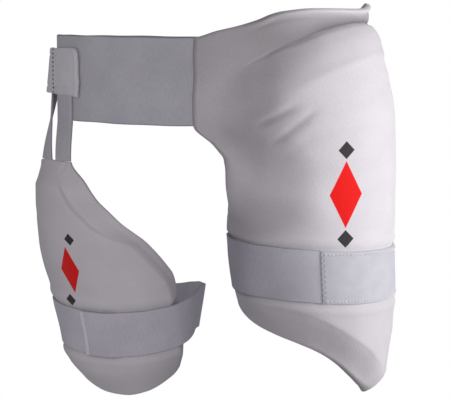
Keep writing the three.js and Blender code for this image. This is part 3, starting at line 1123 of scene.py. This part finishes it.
    def painted_shade(self, at: Spots) -> Numbers:
        """Painted shade, darker on the flange and the thin wing, in creases and at the foot.

        Args:
            at: the places.

        Returns:
            Shares from 0 to 1.
        """
        flange, bevel = self.margins(at.across)
        # Painted shade in every term: a dark flange and crease, a shaded wing and lower right, a
        # dark tip and foot, and darker folds.
        deeper = (0.28 + 0.4 * eased(0.26, 0.42, at.across)) * np.clip(at.top / flange, 0.0, 1.0)
        on_flange = eased(3.5, 8.0, at.top) * (1.0 - eased(flange - 1.0, flange + 2.0, at.top))
        bevel_end = 1.0 - eased(flange + 0.84 * bevel, flange + 1.04 * bevel, at.top)
        on_bevel = eased(flange, flange + 3.0, at.top) * bevel_end
        above = on_flange * (0.2 + deeper) + 0.1 * hump(flange, 2.0, at.top) + 0.1 * on_bevel
        below = 0.35 * hump(0.0, 2.6, at.foot) * eased(0.3, 0.5, at.across)
        high = 0.19 * eased(-115.0, -75.0, at.height) + 0.09 * eased(-35.0, 10.0, at.height)
        high = high + 0.12 * hump(-62.0, 30.0, at.height)
        wing = high * (1.0 - eased(0.12, 0.42, at.across))
        shaded = 0.26 * hump(0.19, 0.1, at.across) * (1.0 - eased(flange, flange + 34.0, at.top))
        tip = 0.5 * hump(0.0, 5.0, at.foot) * hump(0.8, 0.045, at.across)
        low = 0.16 * (1.0 - eased(-250.0, -170.0, at.height)) * eased(0.25, 0.6, at.across)
        among_folds = 0.18 * hump(62.0, 25.0, at.x) * hump(-42.0, 25.0, at.height) * (at.y < 0.0)
        creased = 0.14 * np.clip(self.folded(at), 0.0, 1.5) + among_folds
        upper = eased(0.14, 0.32, at.across) * above + wing + shaded
        return np.clip(upper + below + low + tip + creased, 0.0, 0.9)


@dataclass(kw_only=True)
class InnerGuard(Guard):
    """The small guard, whose edge sweeps down from its hanging straps to a round toe."""

    name: str = "inner_pad"
    knit: str = "inner_knit"
    body: Body = InnerThigh()
    prints: tuple[Lozenge, ...] = (
        Lozenge(-140.0, -190.0, 10.0, 24.0, RED),
        Lozenge(-140.0, -158.5, 5.4, 6.2, GREY),
        Lozenge(-140.0, -221.5, 5.4, 6.2, GREY),
    )
    print_lean: float = 0.2
    inner_edge: Curve = Curve((
        (0.0, 127.0), (0.09, 120.0), (0.18, 111.0), (0.24, 102.0), (0.3, 93.0), (0.345, 84.5),
        (0.38, 78.0), (0.42, 72.5), (0.505, 62.0), (0.56, 56.0), (0.62, 53.0), (0.68, 51.5),
        (0.91, 39.5), (1.0, 37.5),
    ))
    outer_edge: Curve = Curve((
        (0.0, 174.0), (0.09, 184.0), (0.18, 188.0), (0.24, 189.0), (0.3, 190.0),
        (0.345, 191.0), (0.91, 191.0), (1.0, 190.0),
    ))
    top_edge: Curve = Curve(((0.0, 1.0), (0.5, 0.99), (0.85, 1.01), (1.0, 1.06)))
    foot_edge: Curve = Curve((
        (0.0, 0.885), (0.03, 0.923), (0.127, 0.957), (0.275, 0.988), (0.42, 1.0), (0.546, 0.997),
        (0.711, 0.98), (0.85, 0.955), (1.0, 0.9),
    ))
    top_level: float = 0.0
    top_rise: float = -82.0
    drop: float = 322.0
    rim: float = 4.0
    foam: float = 12.0
    columns: int = 150
    rows: int = 210
    strap_drop: float = 256.0
    strap_height: float = 47.0
    strap_tilt: float = 6.0
    strap_bow: float = 10.0
    strap_lean: float = 2.3
    folds: tuple[Fold, ...] = ((-140.5, -80.0, -144.5, -94.0, 2.0, 1.1),)
    waves: tuple[float, float, float, float, float] = (0.3, 0.083, 0.05, 0.067, 0.06)
    edge_round: float = 2.8
    edge_thickness: float = 3.0
    top_bevel: float = 26.0
    toe_bevel: float = 30.0
    rear_bevel: float = 24.0
    edge_bevel: Curve = Curve((
        (0.0, 19.0), (42.0, 19.0), (64.0, 18.0), (73.0, 13.0), (82.0, 8.0), (110.0, 8.0),
    ))
    ridge: Curve = Curve(((0.0, 0.0), (0.1, 0.07), (0.85, 0.86), (1.0, 0.985), (1.12, 1.0)))

    def strap_level(self, turn: Numbers) -> Numbers:
        """The small strap's middle, bowed and tilted.

        Args:
            turn: degrees round the thigh.

        Returns:
            Millimetres above the origin.
        """
        aside, ahead = np.cos(np.radians(turn)), np.sin(np.radians(turn))
        bowed = self.strap_tilt * aside + self.strap_bow * aside * aside
        return -self.strap_drop + bowed + self.strap_lean * ahead

    def fullness(self, at: Spots) -> Numbers:
        """Bevelled along the top and the swept edge, which soften lower down.

        Args:
            at: the places.

        Returns:
            Shares from 0 to 1.
        """
        below = self.ridge.at(at.top / self.top_bevel)
        above = eased(-self.toe_bevel / 4.0, self.toe_bevel, at.foot)
        bevel = self.edge_bevel.at(at.top)
        fading = eased(70.0, 90.0, at.top)
        soft = eased(-1.0, 1.6 * bevel, at.inner)
        beside = self.ridge.at(at.inner / bevel) * (1.0 - fading) + soft * fading
        return below * above * beside * eased(0.0, self.rear_bevel, at.outer)

    def relief(self, at: Spots) -> Numbers:
        """Soft arcs across the middle, a line along the ridge and the pulled fold.

        Args:
            at: the places.

        Returns:
            Millimetres.
        """
        beside = hump(self.edge_bevel.at(at.top) * 1.16, 3.2, at.inner)
        ridge = beside * (1.0 - eased(66.0, 80.0, at.top)) * eased(16.0, 30.0, at.top)
        bow = at.top - 56.0 - 0.003 * (at.x + 150.0) ** 2
        arcs = 0.5 * hump(0.0, 5.0, bow) * hump(-150.0, 26.0, at.x)
        return self.uneven(at) - arcs - 1.1 * ridge - self.folded(at)

    def painted_shade(self, at: Spots) -> Numbers:
        """Painted shade, a little darker on the top bevel, along the ridge, low on the toe and
        towards both sides.

        Args:
            at: the places.

        Returns:
            Shares from 0 to 1.
        """
        # Painted shade in every term: the top bevel, a line beside the ridge, the toe and both
        # sides.
        beside = hump(self.edge_bevel.at(at.top) * 1.14, 2.8, at.inner)
        ridge = beside * (1.0 - eased(76.0, 92.0, at.top))
        high = 1.0 - eased(0.7 * self.top_bevel, 1.1 * self.top_bevel, at.top)
        low = 1.0 - eased(0.0, 1.5 * self.toe_bevel, at.foot)
        sides = 0.14 * eased(128.0, 172.0, at.turn) + 0.1 * (1.0 - eased(52.0, 88.0, at.turn))
        return 0.07 * high + 0.15 * ridge * (1.0 - high) + 0.1 * low + sides


# Bands


@dataclass
class Band:
    """A flat strap round a body, from one turn to a lower one.

    lies_off gives how far its inner face lies off the body at turns and heights.
    """

    name: str
    body: Body
    start: float
    end: float
    height: float
    thickness: float
    middle: Callable[[Numbers], Numbers]
    lies_off: Surface
    columns: int
    rows: int = 26
    edge_round: float = 1.1
    edge_share: float = 0.45
    waver: float = 0.25
    foam_under: float = 15.0

    def level(self, turn: Numbers, aside: Numbers) -> Numbers:
        """The height at a distance up from the band's middle."""
        wavering = np.sin(turn * 0.21 + 1.3) * np.sin(turn * 0.083)
        return self.middle(turn) + aside + self.waver * wavering

    def outer_face(self, turn: Numbers, aside: Numbers) -> Numbers:
        """Points on the outer face."""
        level = self.level(turn, aside)
        return on_body(self.body, turn, level, self.lies_off(turn, level) + self.thickness)

    def radius(self, turn: float, aside: float = 0.0) -> float:
        """The body's mean radius at a turn, a distance up from the band's middle."""
        return float(girth_radius(self.body, float(self.middle(np.array([turn]))[0]) + aside))

    def build(self, slot: str, finish: ElasticFinish | LoopFinish, *replaced: str) -> None:
        """Makes the band and dresses it.

        Args:
            slot: the record's material slot.
            finish: the band's finish.
            replaced: the solids that it stands for.
        """
        turns = self.start + (self.end - self.start) * graded(self.columns, 0.3)
        sides = self.height * (0.5 - graded(self.rows, 0.8))
        turn, aside = np.meshgrid(turns, sides)
        level = self.level(turn, aside)
        inner_off = self.lies_off(turn, level)
        edge = rounded(self.height / 2.0 - np.abs(aside), self.edge_round)
        thick = self.thickness * (self.edge_share + (1.0 - self.edge_share) * edge)
        inside = on_body(self.body, turn, level, inner_off)
        outside = on_body(self.body, turn, level, inner_off + thick)
        places = np.stack([np.radians(turn) * self.radius(90.0), aside], axis=-1)
        piece = between_sheets(self.name, inside, outside, places)
        dress(piece, slot, finish.make(), *replaced)

    def cross_line(self, turn: float, inset: float, seam: Seam) -> Line:
        """A line across the band, for stitches.

        Args:
            turn: where the line crosses.
            inset: how far it stops from both edges.
            seam: how it is sewn.

        Returns:
            The line.
        """
        radius = self.radius(turn)

        def place(along: Numbers, aside: Numbers) -> Numbers:
            """A point on the line."""
            there = turn + np.degrees(aside / radius)
            return self.outer_face(there, self.height / 2.0 - inset - along)

        return Line(place, self.height - 2.0 * inset, seam)

    def long_lines(self, inset: float, start: float, end: float) -> list[Line]:
        """Two straight lines along the band, for stitches.

        Args:
            inset: how far each lies from its edge.
            start: the turn that they start at.
            end: the lower turn that they end at.

        Returns:
            The upper and the lower line.
        """
        half = self.height / 2.0 - inset
        lines = []
        for middle in (half, -half):
            radius = self.radius(start, middle) + self.foam_under

            def place(
                along: Numbers, aside: Numbers, middle: float = middle, radius: float = radius
            ) -> Numbers:
                """A point on the line."""
                return self.outer_face(start - np.degrees(along / radius), middle + aside)

            lines.append(Line(place, math.radians(start - end) * radius))
        return lines


STRAP_TURNS = (-120.0, 300.0)
STRAP_LEVELS = 13


def stretched_over(guard: Guard, release: float) -> Surface:
    """How far a strap lies off the thigh that it goes round with a guard under it.

    Args:
        guard: the guard that it presses on.
        release: how many degrees past the guard it still stands off the thigh.

    Returns:
        A function of turns and heights.
    """
    first, last = STRAP_TURNS
    turns = np.arange(first, last + 0.5, 1.0)
    half = guard.strap_height / 2.0
    levels = guard.strap_level(turns) + half * np.linspace(-1.0, 1.0, STRAP_LEVELS)[:, None]
    stands = guard.under(np.broadcast_to(turns, levels.shape), levels)
    held = stands.copy()
    reach = int(release)
    for near in range(-reach, reach + 1):
        share = min(1.0, (release - abs(near)) / (release - 4.0))
        held = np.maximum(held, np.roll(stands, near, axis=1) * share)
    kernel = np.hanning(9) / np.hanning(9).sum()
    wide = np.pad(held, ((2, 2), (4, 4)), mode="edge")
    smooth = np.array([np.convolve(row, kernel, mode="valid") for row in wide])
    smooth = sum(smooth[k:k + STRAP_LEVELS] for k in range(5)) / 5.0
    smooth = np.maximum(smooth, stands)

    def lies_off(turn: Numbers, level: Numbers) -> Numbers:
        """Reads the stretched strap's distance.

        Args:
            turn: degrees round the body.
            level: millimetres above the origin.

        Returns:
            Millimetres off the body.
        """
        around = np.where(turn > last, turn - 360.0, np.where(turn < first, turn + 360.0, turn))
        column = np.clip(around - first, 0.0, len(turns) - 1.001)
        place = (level - guard.strap_level(turn)) / half
        row = np.clip((place + 1.0) * (STRAP_LEVELS - 1) / 2.0, 0.0, STRAP_LEVELS - 1.001)
        i, j = row.astype(int), column.astype(int)
        a, b = row - i, column - j
        near = smooth[i, j] * (1.0 - b) + smooth[i, j + 1] * b
        far = smooth[i + 1, j] * (1.0 - b) + smooth[i + 1, j + 1] * b
        return near * (1.0 - a) + far * a + SEAM_GAP

    return lies_off


@dataclass
class WaistBelt:
    """The wide elastic belt, sewn to the wing and pressed to the rear border."""

    waist: Waist = Waist()
    height: float = 85.0
    thickness: float = 2.4
    front_dip: float = 1.5
    side_rise: float = 2.0
    rear_rise: float = 27.0
    overlap: float = 46.0
    wing_seam: float = 94.2
    guard_rear: float = 335.0

    def middle(self, turn: Numbers) -> Numbers:
        """Dips a little at the front, and rises at the side and the back.

        Args:
            turn: degrees round the waist.

        Returns:
            The height of the belt's middle.
        """
        turn = np.asarray(turn, float)
        front = np.maximum(0.0, np.sin(np.radians(turn)))
        side = np.maximum(0.0, -np.cos(np.radians(turn)))
        rear = eased(275.0, self.guard_rear, turn)
        return self.rear_rise * rear + self.side_rise * side - self.front_dip * front

    def lies_off(self, turn: Numbers, level: Numbers) -> Numbers:
        """On the waist, and inside the guard's rear border at the end."""
        tucked = eased(self.guard_rear - 45.0, self.guard_rear - 18.0, turn)
        return -(self.thickness + BELT_GAP) * tucked + 0.0 * level

    def build(self) -> None:
        """Makes the belt and its seam."""
        radius = float(girth_radius(self.waist, 0.0))
        start = self.guard_rear + math.degrees(self.overlap / radius)
        band = Band(
            "belt_elastic", self.waist, start, self.wing_seam, self.height, self.thickness,
            self.middle, self.lies_off, columns=320, rows=30, waver=0.35,
        )
        band.build("elastic", ElasticFinish(
            "belt_elastic_weave", self.height / 2.0, (0.62, 0.61, 0.66, 1.0),
            (0.50, 0.492, 0.54, 1.0),
        ), "waist_belt")
        thread = ThreadFinish("belt_thread", (0.66, 0.64, 0.68, 1.0))
        Stitching(thread, length=2.8, gap=1.2, thickness=0.5).sew(
            "belt_seam_stitches", "elastic",
            band.cross_line(self.wing_seam + 2.4, 2.0, Seam.STRAIGHT),
        )


@dataclass
class OuterLegStrap:
    """The large guard's strap and its wide hook-and-loop end."""

    guard: OuterGuard
    thickness: float = 2.2
    end_thickness: float = 3.0
    seam_turn: float = 82.5
    end_reach: float = 15.0
    end_radius: float = 75.0
    row_inset: float = 3.2
    sewn_length: float = 18.0
    rear_edge: float = -36.0

    def build(self) -> None:
        """Makes the strap, its end and their stitches."""
        guard = self.guard
        lies_off = stretched_over(guard, 8.0)
        radius = float(girth_radius(guard.body, -guard.strap_drop))
        start = 360.0 + self.rear_edge + math.degrees(self.sewn_length / radius)
        strap = Band(
            "outer_strap_elastic", guard.body, start, self.seam_turn - 0.7, guard.strap_height,
            self.thickness, guard.strap_level, lies_off, columns=300,
        )
        # Painted shade: the large strap wears a darker copy of the elastic that the small strap
        # wears.
        strap.build("elastic", ElasticFinish(
            "outer_strap_weave", guard.strap_height / 2.0, (0.67, 0.66, 0.725, 1.0),
            (0.55, 0.54, 0.60, 1.0),
        ), "outer_leg_strap")
        end = Band(
            "outer_strap_end", guard.body, self.seam_turn,
            -math.degrees(self.end_reach / self.end_radius), guard.strap_height,
            self.end_thickness, guard.strap_level, lies_off, columns=170, edge_round=1.6,
        )
        end.build("hook", LoopFinish(
            "outer_strap_end_loops", (0.64, 0.635, 0.685, 1.0), (0.55, 0.545, 0.59, 1.0)
        ), "outer_strap_hook_end")
        dark = ThreadFinish("outer_strap_thread", (0.36, 0.35, 0.38, 1.0))
        Stitching(dark, length=2.2, gap=0.4, thickness=1.4, swing=1.7).sew(
            "outer_strap_stitches", "hook", end.cross_line(self.seam_turn - 1.3, 1.2, Seam.ZIGZAG)
        )
        white = ThreadFinish("outer_strap_edge_thread", (0.95, 0.94, 0.97, 1.0))
        Stitching(white, length=1.8, gap=1.8, thickness=1.2).sew(
            "outer_strap_edge_stitches", "hook",
            *end.long_lines(self.row_inset, self.seam_turn - 2.5, end.end + 1.5),
        )


@dataclass
class InnerLegStrap:
    """The small guard's strap, which laps over a short sewn anchor."""

    guard: InnerGuard
    thickness: float = 2.2
    lap_turn: float = 124.5
    fold_depth: float = 5.0
    hem_width: float = 2.6
    hem_thickness: float = 0.8
    anchor_end: float = 108.0
    anchor_start: float = 194.0

    def build(self) -> None:
        """Makes the anchor, the strap, its hem and their stitches."""
        guard = self.guard
        lies_off = stretched_over(guard, 42.0)
        half = guard.strap_height / 2.0
        anchor = Band(
            "inner_strap_anchor_elastic", guard.body, self.anchor_start, self.anchor_end,
            guard.strap_height, self.thickness, guard.strap_level, lies_off, columns=120, rows=24,
        )
        anchor.build("elastic", ElasticFinish("anchor_weave", half), "inner_strap_anchor")

        def lapped(turn: Numbers, level: Numbers) -> Numbers:
            """Lies over the anchor where it laps, and dips beside the fold at the inner thigh.

            Args:
                turn: degrees round the body.
                level: millimetres above the origin.

            Returns:
                Millimetres off the body.
            """
            over = eased(self.anchor_end - 12.0, self.anchor_end - 2.0, turn)
            around = np.where(turn < -90.0, turn + 360.0, turn)
            beside_fold = (1.0 - np.exp(-np.abs(turn) / 9.0)) * hump(0.0, 42.0, turn)
            lifted = (self.thickness + SEAM_GAP) * over - self.fold_depth * beside_fold
            return lies_off(around, level) + lifted

        strap = Band(
            "inner_strap_elastic", guard.body, self.lap_turn, self.anchor_start - 359.6,
            guard.strap_height, self.thickness, guard.strap_level, lapped, columns=330, rows=24,
        )
        strap.build("elastic", ElasticFinish("inner_strap_weave", half), "inner_leg_strap")
        hem = Band(
            "inner_strap_hem", guard.body, self.lap_turn + 0.15, self.lap_turn - self.hem_width,
            guard.strap_height - 0.8, self.hem_thickness, guard.strap_level,
            lambda turn, level: lapped(turn, level) + self.thickness, columns=10, rows=24,
            edge_round=0.6,
        )
        hem.build("hook", LoopFinish("inner_strap_hem_loops"))
        thread = ThreadFinish("inner_strap_thread", (0.62, 0.6, 0.64, 1.0))
        Stitching(thread, length=2.2, gap=0.8, thickness=0.75, swing=1.5).sew(
            "inner_strap_stitches", "elastic",
            strap.cross_line(self.lap_turn - self.hem_width - 1.2, 1.0, Seam.ZIGZAG),
        )


@dataclass
class Hangers:
    """The two tabs on the belt and the two straps that the small guard hangs on."""

    waist: Waist = Waist()
    thigh: InnerThigh = InnerThigh()
    tab_height: float = 47.0
    tab_top: float = 31.0
    tab_thickness: float = 3.3
    tab_round: float = 1.9
    side_standoff: float = 1.0
    side_flare: float = 16.0
    corner: float = 7.0
    droop: float = 1.6
    belt_thickness: float = 2.4
    belt_half: float = 42.5
    strap_thickness: float = 2.0
    strap_width: float = 17.0
    guard_top: float = 82.0
    guard_rim: float = 4.0
    rear_lift: float = 5.0
    front_tab: Pair = (143.8, 170.0)
    side_tab: Pair = (176.0, 193.0)
    front_top: Pair = (149.5, 166.5)
    front_foot: Pair = (127.0, 141.5)
    rear_top: Pair = (182.0, 192.0)
    rear_foot: Pair = (146.5, 165.0)

    def on_belt(self) -> float:
        """How far the belt's outer face lies off the waist, with a gap."""
        return self.belt_thickness + BELT_GAP

    def tab(self, name: str, node: str, turns: Pair, flare: float) -> Band:
        """Makes one tab.

        Args:
            name: the piece's name.
            node: the solid that it stands for.
            turns: the turns of its two ends.
            flare: how far its rear foot stands off the belt.

        Returns:
            The tab's band.
        """
        front, rear = turns
        is_front = flare == 0.0
        middle = self.tab_top - self.tab_height / 2.0

        def lies_off(turn: Numbers, level: Numbers) -> Numbers:
            """Flares out towards the rear and the foot.

            Args:
                turn: degrees round the waist.
                level: millimetres above the origin.

            Returns:
                Millimetres off the waist.
            """
            along = (turn - front) / (rear - front)
            down = (self.tab_top - level) / self.tab_height
            stands = 0.0 if is_front else self.side_standoff
            return self.on_belt() + stands + flare * along * (0.6 + 0.4 * down)

        band = Band(
            name, self.waist, rear, front, self.tab_height, self.tab_thickness,
            lambda turn: middle + 0.0 * np.asarray(turn, float), lies_off, columns=60,
        )
        along, down = np.meshgrid(graded(72, 0.8), graded(60, 0.8))
        radius = float(girth_radius(self.waist, 0.0))
        width = math.radians(rear - front) * radius
        cut = self.corner * (1.0 - rounded(down * self.tab_height, self.corner))
        wave = (0.5 * np.sin(down * 7.0 + 0.4) + 0.4 * np.sin(down * 15.0)) * is_front
        turn = rear + (front - rear) * along * (width - cut - wave) / width
        drooping = eased(0.55, 1.0, along) * eased(0.7, 1.0, down) * is_front
        aside = self.tab_height * (0.5 - down) - self.droop * drooping
        level = band.level(turn, aside)
        free = (1.0 - along) * width
        inner_off = lies_off(turn, level) + 1.4 * (1.0 - eased(0.0, 6.0, free)) * is_front
        edge = np.minimum(down, 1.0 - down) * self.tab_height
        near = np.minimum(edge, np.minimum(along * width, free))
        raised = 1.1 * hump(3.0, 1.8, near) * is_front
        hollow = -0.7 * hump(7.5, 1.0, edge)
        thick = self.tab_thickness + raised + hollow
        thick = thick * (0.6 + 0.4 * rounded(near, self.tab_round))
        inside = on_body(self.waist, turn, level, inner_off)
        outside = on_body(self.waist, turn, level, inner_off + thick)
        places = np.stack([np.radians(turn) * radius, aside], axis=-1)
        piece = between_sheets(name, inside, outside, places)
        loops = LoopFinish(name + "_loops", (0.81, 0.785, 0.825, 1.0), (0.70, 0.675, 0.715, 1.0))
        dress(piece, "hook", loops.make(), node)
        return band

    def strap(
        self, name: str, node: str, top: Pair, foot: Pair, lift: float, leaves_at: float
    ) -> None:
        """Makes one hanging strap, down over the belt and across to the guard.

        Args:
            name: the piece's name.
            node: the solid that it stands for.
            top: its turns at the tab.
            foot: its turns at the guard's top edge.
            lift: how far off the belt it starts.
            leaves_at: the height where it turns towards the guard.
        """
        tab_foot = self.tab_top - self.tab_height + 5.0
        edge = -self.guard_top + 0.6
        leaves = (leaves_at - tab_foot) / (edge - tab_foot)
        along, down = np.meshgrid(graded(24, 0.8), graded(90, 0.4))
        top_turn = top[1] + (top[0] - top[1]) * along
        foot_turn = foot[1] + (foot[0] - foot[1]) * along
        height = tab_foot + (edge - tab_foot) * down
        share = np.clip((down - leaves) / (1.0 - leaves), 0.0, 1.0)[..., None]
        near = np.minimum(along, 1.0 - along) * self.strap_width
        thick = self.strap_thickness * (0.4 + 0.6 * rounded(near, 1.0))
        thick = thick + 0.35 * hump(1.6, 0.8, near)
        foot_off = (self.guard_rim - self.strap_thickness) / 2.0

        def sheet(extra: Numbers) -> Numbers:
            """One face of the strap.

            Args:
                extra: how far it lies out from the inner face.

            Returns:
                The face's points.
            """
            on_waist = on_body(self.waist, top_turn, height, self.on_belt() + lift + extra)
            on_thigh = on_body(self.thigh, foot_turn, height, foot_off + extra)
            return on_waist * (1.0 - share) + on_thigh * share

        places = np.stack([height, (along - 0.5) * self.strap_width], axis=-1)
        piece = between_sheets(name, sheet(0.0 * along), sheet(thick), places)
        weave = ElasticFinish(
            name + "_weave", self.strap_width / 2.0, (0.63, 0.61, 0.655, 1.0),
            (0.53, 0.51, 0.555, 1.0),
        )
        dress(piece, "elastic", weave.make(), node)

    def build(self) -> None:
        """Makes both tabs, both straps and the tabs' stitches."""
        front = self.tab("front_tab", "hanger_tab_front", self.front_tab, 0.0)
        self.tab("side_tab", "hanger_tab_side", self.side_tab, self.side_flare)
        self.strap(
            "front_hanger", "hanger_strap_front", self.front_top, self.front_foot, 0.0,
            -self.belt_half,
        )
        self.strap(
            "rear_hanger", "hanger_strap_rear", self.rear_top, self.rear_foot, self.rear_lift,
            self.tab_top - self.tab_height,
        )

        def overcast(along: Numbers, aside: Numbers) -> Numbers:
            """A point on the side tab's front edge.

            Args:
                along: the distance down the edge.
                aside: the distance out from its middle.

            Returns:
                The point.
            """
            off = self.on_belt() + self.side_standoff + self.tab_thickness / 2.0 + aside
            there = self.side_tab[0] - 0.3 + 0.0 * along
            return on_body(self.waist, there, self.tab_top - 1.5 - along, off)

        free, sewn = self.front_tab
        pale = ThreadFinish("tab_thread", (0.62, 0.6, 0.64, 1.0))
        Stitching(pale, length=2.0, gap=0.9, thickness=0.55, swing=1.2).sew(
            "tab_stitches", "hook", front.cross_line(sewn - 3.0, 2.5, Seam.ZIGZAG),
            *front.long_lines(5.0, sewn - 2.0, free + 8.0),
        )
        dark = ThreadFinish("side_tab_thread", (0.10, 0.095, 0.11, 1.0))
        Stitching(dark, length=2.0, gap=0.2, thickness=1.7, swing=1.9).sew(
            "side_tab_stitches", "hook", Line(overcast, self.tab_height - 3.0, Seam.ZIGZAG)
        )


# The studio


class Lit(Enum):
    """Which pieces a lamp lights."""

    LEFT_SIDE = "INCLUDE"
    ALL_THE_REST = "EXCLUDE"


@dataclass
class Studio:
    """Camera, soft lights and a plain pale floor."""

    lens: float = 110.5
    distance: float = 1.45
    pitch: float = 6.6
    target: tuple[float, float, float] = (0.01525, 0.0, -0.128)
    sensor: float = 36.0
    room_radius: float = 6.0
    room_height: float = 7.0
    floor: float = -1.0
    left_side: tuple[str, ...] = (
        "inner_pad_cover", "inner_strap_anchor_elastic", "inner_strap_elastic",
        "inner_strap_hem", "inner_strap_stitches", "belt_elastic", "belt_seam_stitches",
        "front_tab", "side_tab", "tab_stitches", "side_tab_stitches", "front_hanger", "rear_hanger",
    )

    def camera(self) -> None:
        """Looks at the guard from the front and a little above."""
        view = bpy.data.cameras.new("view")
        view.lens = self.lens
        view.sensor_width = self.sensor
        thing = bpy.data.objects.new("view", view)
        bpy.context.scene.collection.objects.link(thing)
        down = math.radians(self.pitch)
        away = Vector((0.0, -math.cos(down), math.sin(down))) * self.distance
        thing.location = Vector(self.target) + away
        thing.rotation_euler = (math.radians(90.0) - down, 0.0, 0.0)
        bpy.context.scene.camera = thing

    def lamp(
        self, name: str, place: tuple[float, float, float], size: float, power: float, lit: Lit,
        spread: float = 180.0,
    ) -> None:
        """Adds a soft square lamp that faces the guard.

        Args:
            name: the lamp's name.
            place: where it stands, in metres.
            size: its width and height.
            power: its power in watts.
            lit: which pieces it lights.
            spread: how wide the light fans out, in degrees.
        """
        light = bpy.data.lights.new(name, "AREA")
        light.size = size
        light.energy = power
        light.spread = math.radians(spread)
        light.color = (1.0, 0.985, 1.0)
        thing = bpy.data.objects.new(name, light)
        bpy.context.scene.collection.objects.link(thing)
        thing.location = place
        towards = Vector(self.target) - Vector(place)
        thing.rotation_euler = towards.to_track_quat("-Z", "Y").to_euler()
        thing.visible_camera = False
        shared = bpy.data.collections.new(name + "_reach")
        for piece in self.left_side:
            shared.objects.link(bpy.data.objects[piece])
        for entry in shared.collection_objects:
            entry.light_linking.link_state = lit.value
        thing.light_linking.receiver_collection = shared

    def backdrop(self) -> None:
        """A pale floor that rises into a pale wall all round."""
        bpy.ops.object.select_all(action="DESELECT")
        bpy.ops.mesh.primitive_cylinder_add(
            vertices=96, radius=self.room_radius, depth=self.room_height,
            location=(0.0, 0.0, self.floor + self.room_height / 2.0),
        )
        room = bpy.context.object
        room.name = "pale_room"
        shader = Shader("pale_paint")
        for key, given in {
            "Base Color": (0.0, 0.0, 0.0, 1.0), "Specular IOR Level": 0.0,
            "Emission Color": (1.0, 1.0, 1.0, 1.0), "Emission Strength": 1.0,
        }.items():
            shader.feed(shader.surface.inputs[key], given)
        room.data.materials.append(shader.material)
        room.visible_diffuse = False
        room.visible_glossy = False
        room.visible_shadow = False

    def light(self) -> None:
        """A bright lamp from the right, small ones in front, and dim light all round."""
        world = bpy.data.worlds.new("soft_light")
        world.use_nodes = True
        backing = world.node_tree.nodes["Background"]
        backing.inputs["Color"].default_value = (0.97, 0.94, 1.0, 1.0)
        backing.inputs["Strength"].default_value = 0.26
        bpy.context.scene.world = world
        self.lamp("key", (2.2, -0.42, 0.1), 1.5, 43.0, Lit.ALL_THE_REST)
        self.lamp("front", (0.4, -0.54, -0.2), 0.3, 0.41, Lit.ALL_THE_REST)
        self.lamp("middle", (0.2, -0.45, -0.08), 0.12, 0.016, Lit.ALL_THE_REST, 50.0)
        self.lamp("left_fill", (-0.22, -1.05, 0.02), 0.7, 2.15, Lit.LEFT_SIDE)

    def build(self) -> None:
        """Sets up the camera and the room."""
        self.camera()
        self.backdrop()
        bpy.context.scene.view_settings.view_transform = "Standard"


def main() -> None:
    """Builds the thigh guard inside its frame."""
    logging.basicConfig(level=logging.INFO, format="%(name)s: %(message)s")
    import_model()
    studio = Studio()
    studio.build()
    outer, inner = OuterGuard(), InnerGuard()
    outer.build()
    inner.build()
    WaistBelt().build()
    OuterLegStrap(outer).build()
    InnerLegStrap(inner).build()
    Hangers().build()
    studio.light()


if __name__ == "__main__":
    main()
